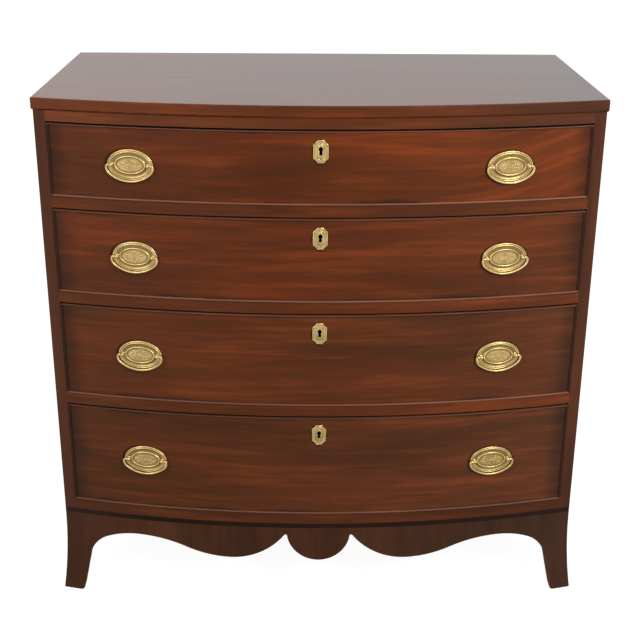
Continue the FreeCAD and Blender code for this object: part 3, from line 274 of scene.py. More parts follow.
def makeRimShadeGroup():  # 1 in the middle of a panel, 0 at its rim, wavering a little
    tree, start, end = newGroup("rimShade", ("Inside",), HalfWide=0.48, Low=0.0, High=1.0,
                                SideReach=0.05, UpReach=0.02)
    parts = splitAxes(tree, start.outputs["Vector"], (-700, 0))
    noise = stretchedNoise(tree, start.outputs["Vector"], (-700, -300), (9.0, 9.0, 9.0), 3, 0.5)
    waver = mathNode(tree, (-500, -300), "MULTIPLY",
                     mathNode(tree, (-600, -300), "SUBTRACT", noise, 0.5), 0.03)
    sideways = mathNode(tree, (-500, 200), "SUBTRACT", start.outputs["HalfWide"],
                        mathNode(tree, (-600, 200), "ABSOLUTE", parts["X"]))
    fromLow = mathNode(tree, (-500, 50), "SUBTRACT", parts["Z"], start.outputs["Low"])
    fromHigh = mathNode(tree, (-500, -50), "SUBTRACT", start.outputs["High"], parts["Z"])
    upright = mathNode(tree, (-350, 0), "MINIMUM", fromLow, fromHigh)
    masks = []
    for source, reach, height in ((sideways, "SideReach", 200), (upright, "UpReach", 0)):
        moved = mathNode(tree, (-200, height), "ADD", source, waver)
        masks.append(ramp(tree, moved, (0, height), 0.0, start.outputs[reach], smooth=True))
    link(tree, mathNode(tree, (300, 100), "MULTIPLY", *masks), end.inputs["Inside"])
    return tree


gapSpec = {
    "centreY": 1.70863,  # the middle of the case's bow, seen from above
    "radius": 1.98503,
    "dark": (1.2 * mm, 0.2 * mm),  # behind the face: where the painted shade is full, and where it starts
    "clear": (4 * mm, 8 * mm),  # where it fades again, and where it ends
}


def makeGapShadeGroup():  # painted shade in the gaps: 1 on the bowed face, 0 just behind it, 1 again further in and past the half width
    tree, start, end = newGroup("paintedGapShade", ("Open",), CentreY=gapSpec["centreY"],
                                Radius=gapSpec["radius"], HalfWide=1.0)
    middle = addNode(tree, "ShaderNodeCombineXYZ", (-750, -150))
    link(tree, start.outputs["CentreY"], middle.inputs["Y"])
    level = addNode(tree, "ShaderNodeVectorMath", (-700, 0), operation="MULTIPLY")
    level.inputs[1].default_value = (1, 1, 0)
    link(tree, start.outputs["Vector"], level.inputs[0])
    reach = addNode(tree, "ShaderNodeVectorMath", (-500, 0), operation="DISTANCE")
    link(tree, level.outputs["Vector"], reach.inputs[0])
    link(tree, middle.outputs["Vector"], reach.inputs[1])
    behind = mathNode(tree, (-300, 0), "SUBTRACT", start.outputs["Radius"], reach.outputs["Value"])
    front = ramp(tree, behind, (-100, 100), *gapSpec["dark"])
    back = ramp(tree, behind, (-100, -150), *gapSpec["clear"])
    parts = splitAxes(tree, start.outputs["Vector"], (-700, -350))
    aside = mathNode(tree, (-300, -350), "GREATER_THAN",
                     mathNode(tree, (-500, -350), "ABSOLUTE", parts["X"]), start.outputs["HalfWide"])
    seen = mathNode(tree, (100, 0), "MAXIMUM", front, back)
    link(tree, mathNode(tree, (250, 0), "MAXIMUM", seen, aside), end.inputs["Open"])
    return tree


def makePlateShadeGroup():  # painted shadow round an oval plate: 0 close round it, 1 away from it
    tree, start, end = newGroup("plateShade", ("Clear",), AtX=0.0, AtZ=0.0, Wide=0.04, Tall=0.03, Reach=0.15)
    parts = splitAxes(tree, start.outputs["Vector"], (-700, 0))
    squares = []
    for axis, middle, half, height in (("X", "AtX", "Wide", 150), ("Z", "AtZ", "Tall", -150)):
        away = mathNode(tree, (-500, height), "SUBTRACT", parts[axis], start.outputs[middle])
        share = mathNode(tree, (-350, height), "DIVIDE", away, start.outputs[half])
        squares.append(mathNode(tree, (-200, height), "MULTIPLY", share, share))
    radius = mathNode(tree, (0, 0), "SQRT", mathNode(tree, (-100, 0), "ADD", *squares))
    past = mathNode(tree, (100, 0), "SUBTRACT", radius, 1.0)
    clear = ramp(tree, past, (300, 0), 0.0, start.outputs["Reach"], smooth=True)
    link(tree, clear, end.inputs["Clear"])
    return tree


def makePatinaGroup():  # soft blotches and fine cast pitting for the brass
    tree, start, end = newGroup("brassPatina", ("Blotches", "Pits"))
    blotches = stretchedNoise(tree, start.outputs["Vector"], (0, 100), (90, 90, 90), 4, 0.6)
    pits = stretchedNoise(tree, start.outputs["Vector"], (0, -150), (900, 900, 900), 3, 0.55)
    link(tree, ramp(tree, blotches, (250, 100), 0.38, 0.68), end.inputs["Blotches"])
    link(tree, pits, end.inputs["Pits"])
    return tree


grainGroup = makeGrainGroup()
rimShadeGroup = makeRimShadeGroup()
gapShadeGroup = makeGapShadeGroup()
plateShadeGroup = makePlateShadeGroup()
patinaGroup = makePatinaGroup()


def useGroup(tree, group, spot, **values):
    item = addNode(tree, "ShaderNodeGroup", spot)
    item.node_tree = group
    for key, value in values.items():
        item.inputs[key].default_value = value
    return item


def mixColour(tree, spot, blend, factor, first, second):
    item = addNode(tree, "ShaderNodeMix", spot, data_type="RGBA", blend_type=blend)
    for index, value in ((0, factor), (6, first), (7, second)):  # a colour mix keeps its own two at 6 and 7
        feed(tree, item.inputs[index], value)
    return item.outputs[2]


def linear(red, green, blue):  # from screen levels, 0 to 255
    def channel(value):
        share = value / 255
        return share / 12.92 if share <= 0.04045 else ((share + 0.055) / 1.055) ** 2.4
    return (channel(red), channel(green), channel(blue), 1.0)


def newMaterial(name):
    material = bpy.data.materials.new(name)
    material.use_nodes = True
    tree = material.node_tree
    shader = tree.nodes["Principled BSDF"]
    coords = addNode(tree, "ShaderNodeTexCoord", (-1600, 0))
    return material, tree, shader, coords.outputs["Object"]


def bump(tree, shader, height, strength, distance):
    item = addNode(tree, "ShaderNodeBump", (-200, -400))
    item.inputs["Strength"].default_value = strength
    item.inputs["Distance"].default_value = distance
    link(tree, height, item.inputs["Height"])
    link(tree, item.outputs["Normal"], shader.inputs["Normal"])


# along, across and depth of the grain, as axes of the chest
grainAxes = {"sideways": ("X", "Z", "Y"), "upright": ("Z", "X", "Y"), "topBoard": ("X", "Y", "Z"),
             "caseSide": ("Z", "Y", "X"), "frontToBack": ("Y", "Z", "X")}

# painted shade inside the keyholes
keyholeShade = {"fromEnds": 10 * mm, "halfWide": 5 * mm, "tone": linear(14, 9, 4)}


def blackenKeyholes(tree, place, tone, front, back):  # painted shade: darkens what is seen through the four keyholes
    parts = splitAxes(tree, place, (-300, 1100))

    def within(axis, low, high, height):
        return mathNode(tree, (-100, height), "COMPARE", parts[axis], (low + high) / 2, (high - low) / 2)

    found = 0.0
    margin, half = keyholeShade["fromEnds"], keyholeShade["halfWide"]
    for number in drawerNumbers:
        low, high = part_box("drawer_%d_escutcheon" % number)
        level = within("Z", low.z + margin, high.z - margin, 900 + 100 * number)
        found = mathNode(tree, (100, 900 + 100 * number), "MAXIMUM", level, found)
    for axis, low, high, height in (("X", -half, half, 850), ("Y", front, back, 750)):
        found = mathNode(tree, (300, height), "MULTIPLY", found, within(axis, low, high, height))
    return mixColour(tree, (550, 800), "MIX", found, tone, keyholeShade["tone"])


def layGrain(tree, parts, spec, above):  # the grain's masks, with the grain along the piece
    along, across, deep = (parts[axis] for axis in grainAxes[spec["grain"]])
    if above is not None:  # on the edge below such a face the grain runs level
        level = mathNode(tree, (-1400, 400), "SUBTRACT", across, deep)
        across = mathNode(tree, (-1300, 400), "MULTIPLY_ADD", level, above, deep)
    if spec["grain"] in ("caseSide", "upright"):
        across = mathNode(tree, (-1300, 100), "ADD", across, deep)
    if "fan" in spec:  # past this spot the grain rises, more and more
        start, steepness = spec["fan"]
        past = mathNode(tree, (-1600, 300), "MAXIMUM",
                        mathNode(tree, (-1700, 300), "SUBTRACT", along, start), 0.0)
        rise = mathNode(tree, (-1400, 300), "MULTIPLY",
                        mathNode(tree, (-1500, 300), "MULTIPLY", past, past), steepness)
        across = mathNode(tree, (-1300, 300), "SUBTRACT", across, rise)
    vector = addNode(tree, "ShaderNodeCombineXYZ", (-1200, 0))
    link(tree, mathNode(tree, (-1300, 200), "ADD", along, spec["seed"]), vector.inputs["X"])
    link(tree, across, vector.inputs["Y"])
    link(tree, mathNode(tree, (-1300, -100), "MULTIPLY", deep, spec["deepShare"]), vector.inputs["Z"])
    grain = useGroup(tree, grainGroup, (-1000, 0), Wander=spec["wander"])
    link(tree, vector.outputs["Vector"], grain.inputs["Vector"])
    return grain.outputs


def woodTone(tree, grain, spec):
    def lay(tone, label, strength, shade, x):
        amount = mathNode(tree, (x - 150, 0), "MULTIPLY", grain[label], spec[strength])
        return mixColour(tree, (x, 150), "MIX", amount, tone, spec[shade])

    tone = mixColour(tree, (-800, 200), "MIX", grain["Clouds"], spec["dark"], spec["light"])
    tone = lay(tone, "Streaks", "streak", "flame", -650)
    if spec["smoky"]:
        tone = lay(tone, "Smoke", "smoky", "smoke", -550)
    lines = mathNode(tree, (-600, -100), "MULTIPLY_ADD",
                     grain["Lines"], spec["lines"], 1.0 - spec["lines"] / 2)
    tone = mixColour(tree, (-450, 150), "MULTIPLY", 1.0, tone, lines)
    return lay(tone, "Pores", "pores", "pore", -350)


def layFades(tree, parts, tone, fades):  # slow changes of tone across the piece
    for axis, stops in fades:  # of the stops, the two ends come first
        first, last = stops[0][0], stops[1][0]
        band = addNode(tree, "ShaderNodeValToRGB", (-450, 500))
        for index, (spot, shade) in enumerate(stops):
            share = (spot - first) / (last - first)
            if index < 2:
                stop = band.color_ramp.elements[index]
                stop.position = share
            else:
                stop = band.color_ramp.elements.new(share)
            stop.color = tuple(level / 2 for level in shade) + (1.0,)
        link(tree, ramp(tree, parts[axis], (-650, 500), first, last), band.inputs["Fac"])
        doubled = mixColour(tree, (-350, 400), "ADD", 1.0, band.outputs["Color"], band.outputs["Color"])
        tone = mixColour(tree, (-250, 250), "MULTIPLY", 1.0, tone, doubled)
    return tone


def makeWood(name, spec, shades=()):
    material, tree, shader, place = newMaterial(name)
    parts = splitAxes(tree, place, (-1450, 0))
    above, specular, coat = None, spec["specular"], spec["coat"]
    if "glossAbove" in spec:  # the upper face, and the only one with the waxed shine
        above = mathNode(tree, (-1400, -500), "GREATER_THAN", parts["Z"], spec["glossAbove"])
        specular = ramp(tree, above, (-300, -500), 0.0, 1.0, polish["specular"], specular)
        coat = above
    grain = layGrain(tree, parts, spec, above)
    tone = layFades(tree, parts, woodTone(tree, grain, spec), spec["fades"])
    # each mask darkens the tone: the rim mask is the finish's own toner, the gap and plate masks are painted
    # shade
    for group, values, shade in shades:
        mask = useGroup(tree, group, (-400, 700), **values)
        link(tree, place, mask.inputs["Vector"])
        tonerAndPaintedLight = mixColour(tree, (-150, 450), "MULTIPLY", 1.0, tone, shade)
        tone = mixColour(tree, (0, 250), "MIX", mask.outputs[0], tonerAndPaintedLight, tone)
    if "hole" in spec:
        tone = blackenKeyholes(tree, place, tone, *spec["hole"])
    rough = mathNode(tree, (-300, -200), "MULTIPLY_ADD", grain["Clouds"], spec["roughSpread"],
                     spec["rough"] - spec["roughSpread"] / 2)
    for label, value in (("Base Color", tone), ("Roughness", rough), ("Specular IOR Level", specular),
                         ("Coat Weight", coat), ("Coat Roughness", spec["coatRough"])):
        feed(tree, shader.inputs[label], value)
    bump(tree, shader, grain["Lines"], spec["bump"], 0.4 * mm)
    return material


polish = {"specular": 0.11, "coat": 0.0, "coatRough": 0.22, "rough": 0.4, "roughSpread": 0.06, "bump": 0.10,
          "wander": 0.025, "deepShare": 0.12, "streak": 0.5, "smoky": 0.0, "lines": 0.5, "pores": 0.3,
          "fades": ()}
mahogany = dict(polish, grain="sideways", dark=linear(82, 44, 24), light=linear(104, 52, 28),
                flame=linear(134, 66, 35), streak=0.8, smoky=0.45, smoke=linear(70, 39, 23),
                pore=linear(50, 26, 16))
uprightMahogany = dict(mahogany, grain="upright", dark=linear(74, 43, 29), light=linear(92, 52, 34),
                       flame=linear(106, 60, 40), smoke=linear(66, 40, 27), streak=0.5, wander=0.03)
# painted shade in the gaps just behind the bowed face
gapShade = (gapShadeGroup, {}, linear(54, 34, 24))

hinges = {joint["name"]: joint for joint in frame["joints"] if joint["type"] == "hinge"}
frontSpec = {
    "fadeAt": (-0.48, 0.48, -0.1),  # the left, the right and the middle
    "tones": {  # seed, then the tone at each of those: partly the wood's own tone, partly painted light, lighter and greyer towards the right where the light falls
        1: (3.7, (1.14, 1.14, 1.08), (1.74, 1.52, 1.2), (1.2, 1.04, 0.84)),
        2: (7.4, (1.22, 1.18, 1.12), (1.44, 1.38, 1.32), (1.12, 1.02, 0.88)),
        3: (11.1, (1.1, 1.14, 1.04), (1.18, 1.32, 1.46), (1.14, 1.14, 1.04)),
        4: (14.8, (0.98, 1.1, 1.06), (1.22, 1.42, 1.66), (0.97, 1.08, 1.06)),
    },
    "fan": {1: (0.2, 0.7)},  # where the grain starts to rise, and how steeply
    "hole": (-0.3 * mm, 10 * mm),  # the painted keyhole shade, from the front's foremost point
    "rim": {"SideReach": 46 * mm, "UpReach": 8 * mm},
    "rimTone": linear(176, 194, 218),
    "plateShadowTone": linear(150, 140, 130),  # painted shadow on the wood close round the brass
    "pullShade": {"Wide": 42.5 * mm, "Tall": 30.5 * mm, "Reach": 0.1},
    "pullShift": (1.5 * mm, 2.2 * mm),  # the shade falls to the left and down
    # the painted shadow round the key plate: how far it shifts left and down, how much it grows, and its
    # reach
    "keyShift": (0.6 * mm, 0.8 * mm),
    "keyGrow": (1.5 * mm, 1.0 * mm),
    "keyReach": 0.14,
}


def makeFrontWood(number):
    own = frontSpec
    low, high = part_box("drawer_%d_front" % number)
    seed, *tones = own["tones"][number]
    spec = dict(mahogany, seed=seed, fades=(("X", tuple(zip(own["fadeAt"], tones))),),
                hole=[low.y + depth for depth in own["hole"]])
    if number in own["fan"]:
        spec["fan"] = own["fan"][number]
    rim = dict(own["rim"], HalfWide=high.x, Low=low.z, High=high.z)
    shades = [(rimShadeGroup, rim, own["rimTone"]), gapShade]
    left, down = own["pullShift"]
    for word in ("left", "right"):
        pin = hinges["drawer_%d_bail_%s_hinge" % (number, word)]["pos_m"]
        oval = dict(own["pullShade"], AtX=pin[0] - left, AtZ=pin[2] - down)
        shades.append((plateShadeGroup, oval, own["plateShadowTone"]))
    low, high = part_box("drawer_%d_escutcheon" % number)
    left, down = own["keyShift"]
    sideGrow, upGrow = own["keyGrow"]
    oval = {"AtX": -left, "AtZ": (low.z + high.z) / 2 - down, "Wide": high.x + sideGrow,
            "Tall": (high.z - low.z) / 2 + upGrow, "Reach": own["keyReach"]}
    shades.append((plateShadeGroup, oval, own["plateShadowTone"]))
    return makeWood("frontMahogany%d" % number, spec, shades)


beadSpec = {
    "thick": 3 * mm,
    "blend": 0.9 * mm,  # from the painted highlight on a bead to plain wood
    "arris": (1.4 * mm, 1.0 * mm),  # down the top bead: where the painted highlight ends, and where the painted shadow is full
    "corner": 4 * mm,
    "wood": {"dark": linear(72, 44, 31), "light": linear(82, 49, 34), "flame": linear(94, 56, 38),
             "smoky": 0.0},
    # per drawer, the painted highlight on the beads, then the painted shadow on the top bead's upper arris
    "tonerAndPaintedLight": {1: (3.4, 4.0, 4.6), 2: (3.2, 3.8, 4.4), 3: (2.8, 3.4, 4.0), 4: (2.4, 3.0, 3.6)},
    "paintedShadow": {1: (0.2, 0.16, 0.12), 2: (0.9, 0.8, 0.7), 3: (0.9, 0.8, 0.7), 4: (0.9, 0.8, 0.7)},
    "plain": (0.9, 0.9, 0.9),
    "sides": ((0.3, 0.24, 0.2), (0.95, 0.95, 0.95), (1.25, 1.25, 1.25)),  # at the ends, then left and right: painted shade in the gaps at the ends, and the painted highlight lighter towards the right
}


def makeBeadWood(number):  # painted shadow on the top bead's upper arris under the rail, a painted highlight below it and on the bottom bead
    own = beadSpec
    low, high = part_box("drawer_%d_cockbeads" % number)
    tonerAndPaintedLight, paintedShadow, plain = own["tonerAndPaintedLight"][number], own["paintedShadow"][number], own["plain"]
    bottom, top = low.z + own["thick"], high.z - own["thick"]
    highlightEnd, shadowFrom = (high.z - down for down in own["arris"])
    stops = ((low.z, tonerAndPaintedLight), (high.z + 0.1 * mm, paintedShadow), (bottom, tonerAndPaintedLight), (bottom + own["blend"], plain),
             (top - own["blend"], plain), (top, tonerAndPaintedLight), (highlightEnd, tonerAndPaintedLight), (shadowFrom, paintedShadow))
    end, left, right = own["sides"]
    sides = ((-high.x, end), (high.x, end), (-high.x + own["corner"], left), (high.x - own["corner"], right))
    spec = dict(mahogany, seed=number * 2.3, fades=(("Z", stops), ("X", sides)), **own["wood"])
    return makeWood("beadMahogany%d" % number, spec, [gapShade])


# places along an axis, its two ends first, with the tone at each. These fades are partly the wood's own tone
# and partly painted light: darker at the lowest rails, lighter towards the right on the rails and case sides,
# and lighter and greyer at the left of the top board and top rails, a painted sheen
railStops = ((0.15, (0.82, 0.92, 0.98)), (0.99, (1.12, 1.14, 1.12)), (0.2, (0.82, 0.92, 0.98)),
             (0.3, (1.1, 1.12, 1.08)), (0.8, (1.06, 1.06, 1.04)), (0.94, (1.1, 1.12, 1.1)))
railSides = ((-0.48, (0.86, 0.96, 1.0)), (0.48, (1.35, 1.25, 1.15)), (0.0, (1.08, 1.04, 0.96)))
topRailSides = ((-0.48, (1.75, 1.85, 1.95)), (0.48, (0.95, 1.3, 1.65)), (0.0, (1.75, 1.5, 1.3)))
topSides = ((-0.5, (1.6, 1.6, 1.6)), (0.5, (0.84, 1.1, 1.35)), (0.0, (1.36, 1.26, 1.06)))
caseSides = ((-0.5, (0.95, 0.96, 0.96)), (0.5, (1.14, 1.06, 0.96)))
apronSides = ((-0.5, (1.1, 1.06, 1.02)), (0.5, (0.82, 1.0, 1.12)), (0.0, (1.02, 1.02, 1.0)))
# the painted gap shade on the case, kept off the outer faces of its sides
caseShade = (gapShadeGroup, {"HalfWide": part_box("drawer_1_cockbeads")[1].x + 3 * mm}, gapShade[2])
paleOak = dict(polish, dark=linear(150, 118, 78), light=linear(176, 144, 100), flame=linear(190, 160, 116),
               streak=0.4, pores=0.5, pore=linear(110, 82, 52), rough=0.7, wander=0.03, specular=0.1)
woods = {
    "case": makeWood("sideMahogany", dict(uprightMahogany, grain="caseSide", seed=5.1,
                                          fades=(("X", caseSides),)), [caseShade]),
    "rails": makeWood("railMahogany", dict(mahogany, seed=9.2, smoky=0.25,
                                           fades=(("Z", railStops), ("X", railSides)))),
    "topRails": makeWood("topRailMahogany", dict(mahogany, seed=1.9, smoky=0.2,
                                                 fades=(("X", topRailSides),))),
    "top": makeWood("topMahogany", dict(mahogany, grain="topBoard", seed=2.4, coatRough=0.16, specular=0.3,
                                        rough=0.34, wander=0.02, bump=0.02, smoky=0.2,
                                        fades=(("X", topSides),),
                                        glossAbove=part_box("top_board")[1].z - 0.4 * mm)),
    # a darker copy of the upright mahogany: painted shade, low on the chest
    "apron": makeWood("apronMahogany", dict(uprightMahogany, seed=7.3, dark=linear(69, 41, 26),
                                            light=linear(88, 52, 33), flame=linear(98, 57, 37),
                                            smoke=linear(58, 35, 23), fades=(("X", apronSides),))),
    "band": makeWood("ebonisedWood", dict(mahogany, seed=1.1, dark=linear(30, 18, 12), smoky=0.0,
                                          light=linear(44, 27, 19), flame=linear(52, 32, 22))),
    "lining": makeWood("liningOak", dict(paleOak, grain="frontToBack", seed=6.0)),
    "crossLining": makeWood("crossLiningOak", dict(paleOak, grain="sideways", seed=8.0)),
    "pine": makeWood("backPine", dict(paleOak, grain="caseSide", seed=3.0, streak=0.5, pores=0.15,
                                      dark=linear(152, 112, 68), light=linear(182, 142, 94),
                                      flame=linear(198, 160, 112), pore=linear(120, 84, 50))),
}
print("woods made")


def makeBrass(name, spec):
    material, tree, shader, place = newMaterial(name)
    patina = useGroup(tree, patinaGroup, (-900, 0))
    link(tree, place, patina.inputs["Vector"])
    blotches = patina.outputs["Blotches"]
    tone = mixColour(tree, (-500, 200), "MIX", blotches, spec["bright"], spec["dull"])
    if "hole" in spec:
        tone = blackenKeyholes(tree, place, tone, *spec["hole"])
    if spec["dirt"]:
        dirt = addNode(tree, "ShaderNodeAttribute", (-900, 400), attribute_name="recess")
        hollow = ramp(tree, dirt.outputs["Fac"], (-700, 400), *spec["dirtSpan"])
        tone = mixColour(tree, (-250, 250), "MIX", hollow, tone, spec["grime"])
        rough = mathNode(tree, (-300, 0), "MULTIPLY_ADD", hollow, spec["dirtRough"], spec["rough"])
    else:
        rough = mathNode(tree, (-300, 0), "MULTIPLY_ADD", blotches, spec["blotchRough"], spec["rough"])
    for label, value in (("Base Color", tone), ("Roughness", rough), ("Metallic", spec["metal"])):
        feed(tree, shader.inputs[label], value)
    bump(tree, shader, patina.outputs["Pits"], spec["bump"], 0.2 * mm)
    return material


brass = {"bright": linear(228, 200, 138), "dull": linear(204, 172, 106), "grime": linear(104, 82, 38),
         "rough": 0.22, "dirtRough": 0.3, "blotchRough": 0.12, "bump": 0.12, "metal": 0.75,
         "dirt": True, "dirtSpan": (0.08, 0.045)}
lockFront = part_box("drawer_1_lock")[0].y
metals = {
    "brass": makeBrass("lacquerBrass", brass),
    "rod": makeBrass("rodBrass", dict(brass, dirt=False, rough=0.2)),
    # the lock takes the painted keyhole shade too
    "lock": makeBrass("lockBrass", dict(brass, dirt=False, rough=0.42, metal=1.0, bright=linear(176, 146, 86),
                                        dull=linear(140, 110, 60),
                                        hole=(lockFront + 0.2 * mm, lockFront + 4 * mm))),
    "iron": makeBrass("boltIron", dict(brass, dirt=False, rough=0.45, metal=1.0, bright=linear(120, 116, 110),
                                       dull=linear(84, 78, 72))),
}
print("metals made")


def dirtyUp(piece):  # darkens the hollows in a colour attribute that the brass reads
    deselectAll()
    piece.select_set(True)
    bpy.context.view_layer.objects.active = piece
    bpy.ops.geometry.color_attribute_add(name="recess", domain="POINT", data_type="FLOAT_COLOR",
                                         color=(1, 1, 1, 1))
    bpy.ops.object.mode_set(mode="VERTEX_PAINT")
    bpy.ops.paint.vertex_color_dirt(blur_strength=0.4, blur_iterations=1, clean_angle=math.pi,
                                    dirt_angle=0, dirt_only=False, normalize=False)
    bpy.ops.object.mode_set(mode="OBJECT")
    deselectAll()


pullSpec = {
    # half wide, half tall and how far out, in mm, from the edge to the middle
    "rings": ((41.5, 27.8, 0.8), (41.2, 27.5, 1.4), (40.7, 27.0, 1.9), (40.0, 26.3, 2.05), (39.3, 25.6, 1.85),
              (38.9, 25.2, 1.4), (38.5, 24.8, 1.25), (38.2, 24.5, 1.55), (37.6, 23.9, 2.0), (36.9, 23.2, 2.1),
              (36.2, 22.5, 1.8), (35.0, 21.5, 1.2), (33.6, 20.5, 0.8), (32.2, 19.5, 0.6), (30.9, 18.5, 0.65),
              (30.0, 17.7, 1.0), (29.4, 17.1, 1.8), (29.0, 16.8, 2.7), (28.6, 16.5, 3.35), (28.0, 16.0, 3.75),
              (27.3, 15.4, 3.85), (26.5, 14.8, 3.7), (25.9, 14.3, 3.2), (25.5, 14.0, 2.7), (24.8, 13.4, 2.5),
              (22.4, 12.1, 2.55), (20.0, 10.8, 2.6), (17.0, 9.2, 2.66), (14.0, 7.6, 2.72), (11.0, 6.0, 2.77),
              (8.0, 4.4, 2.81), (5.0, 2.8, 2.84), (2.5, 1.5, 2.86)),
    "petals": {"count": 8, "away": 2.5 * mm, "out": 2.95 * mm, "size": (3.6 * mm, 1.9 * mm, 1.9 * mm)},
    "button": {"out": 3.25 * mm, "size": (2.0 * mm, 1.8 * mm, 2.6 * mm)},
    # the leaves lie deeper by "sink" at "sinkAt" mm along, and less nearer the middle
    "leaves": {"out": 2.85 * mm, "thick": 1.9 * mm, "sink": 0.3 * mm, "sinkAt": 20},
    # the leaves of a spray, in mm: along, up, turn in degrees, length and width
    "spray": ((5.6, 0.0, 0, 4.4, 1.5), (7.6, 2.6, 52, 5.6, 2.4), (10.4, 0.0, 0, 5.4, 1.3),
              (11.4, 3.2, 44, 6.0, 2.5), (15.2, 3.0, 34, 5.4, 2.4), (15.4, 0.0, 0, 5.2, 1.3),
              (18.8, 2.0, 24, 4.6, 2.1), (20.4, 0.0, 0, 4.6, 1.9), (4.2, 6.0, 74, 5.4, 2.3),
              (7.4, 7.8, 38, 5.0, 2.2), (11.6, 7.3, 14, 5.0, 2.1), (15.8, 5.9, -14, 4.6, 1.9),
              (2.0, 9.6, 10, 3.8, 1.7)),
}


def makeLeaf():  # one embossed leaf, 1 long, pointed at both ends, creased along its middle
    deselectAll()
    bpy.ops.mesh.primitive_uv_sphere_add(segments=10, ring_count=8, radius=0.5, rotation=(0, math.pi / 2, 0))
    leaf = keepAs("leaf")
    openEdit(leaf)
    for side in (-1, 1):
        pickVertices(leaf, lambda spot: spot.x * side > 0.3)
        bpy.ops.transform.resize(value=(1.15, 0.6, 0.55), center_override=(0.3 * side, 0, 0))
    pickVertices(leaf, lambda spot: abs(spot.z) < 0.05 and spot.y < -0.2)
    bpy.ops.transform.translate(value=(0, 0.16, 0))
    return closeEdit(leaf, 60)


def setLeaf(leaf, name, turn, spot, size, lean=0.0):  # turn is round the plate's middle, lean round its own
    place = (Matrix.Rotation(turn, 4, "Y") @ Matrix.Translation(spot) @ Matrix.Rotation(lean, 4, "Y")
             @ Matrix.Diagonal((*size, 1)))
    return copyTo(leaf, name, place)


def makePullPlate():
    spec = pullSpec
    plate = ringedOval("pullPlate", 112, spec["rings"])
    closeEdit(plate, 50)

    leaf = makeLeaf()
    petals, button, leaves = spec["petals"], spec["button"], spec["leaves"]
    reliefs = []
    for index in range(petals["count"]):
        turn = 2 * math.pi * index / petals["count"]
        reliefs.append(setLeaf(leaf, "petal", turn, (petals["away"], -petals["out"], 0), petals["size"]))
    reliefs.append(setLeaf(leaf, "button", 0, (0, -button["out"], 0), button["size"]))
    for side in (0, math.pi):
        for along, up, lean, long, wide in spec["spray"]:
            sink = leaves["sink"] * (along / leaves["sinkAt"]) ** 2
            for flip in ((1, -1) if up else (1,)):
                spot = (along * mm, sink - leaves["out"], up * flip * mm)
                size = (long * mm, leaves["thick"], wide * mm)
                reliefs.append(setLeaf(leaf, "sprayLeaf", side, spot, size, -math.radians(lean * flip)))
    bpy.data.objects.remove(leaf, do_unlink=True)
    joinInto(plate, reliefs)
    dirtyUp(plate)
    return plate


postSpec = {
    "apart": 33 * mm,
    "hinge": 5.6 * mm,
    "knob": 3.5 * mm,
    "shank": 2.0 * mm,
    "shankEnd": 27.4 * mm,
    "chamfer": 0.4 * mm,
    # how far out, and the radius there, in mm
    "foot": ((0.6, 3.5), (1.3, 3.6), (1.8, 3.1), (2.1, 2.5)),
    "tip": ((9.05, 1.0), (9.2, 0.3)),
    "nut": {"near": 22.4 * mm, "tall": 3 * mm, "radius": 4.6 * mm, "edge": 0.35 * mm},
}


def makePost():
    spec = postSpec
    end, shank, chamfer = spec["shankEnd"], spec["shank"], spec["chamfer"]
    rings = [(end, shank - chamfer), (end - chamfer, shank), (-spec["foot"][0][0] * mm, shank)]
    rings += [(-out * mm, radius * mm) for out, radius in spec["foot"]]
    for degrees in range(-48, 81, 16):  # round the knob, from its foot to its front
        turn = math.radians(degrees)
        rings.append((-spec["hinge"] - spec["knob"] * math.sin(turn), spec["knob"] * math.cos(turn)))
    rings += [(-out * mm, radius * mm) for out, radius in spec["tip"]]
    post = turned("bailPost", rings)
    deselectAll()
    nutSpec = spec["nut"]
    bpy.ops.mesh.primitive_cylinder_add(vertices=6, radius=nutSpec["radius"], depth=nutSpec["tall"],
                                        rotation=(math.pi / 2, 0, 0),
                                        location=(0, nutSpec["near"] + nutSpec["tall"] / 2, 0))
    nut = keepAs("nut")
    openEdit(nut, "EDGE")
    bpy.ops.mesh.select_all(action="SELECT")
    bpy.ops.mesh.bevel(offset=nutSpec["edge"], segments=2)
    closeEdit(nut)
    joinInto(post, [nut])
    return post


bailSpec = {
    "rod": 2.0 * mm,
    "pin": 1.4 * mm,
    "pinEnd": 31.6 * mm,
    "shoulder": 36.9 * mm,
    "halfWide": 42.4 * mm,
    "drop": 29 * mm,
    "corner": 3.5 * mm,
    "endRadius": 16 * mm,
    "step": 0.3 * mm,  # the small cone where the rod starts
    "stepShare": 0.85,
}


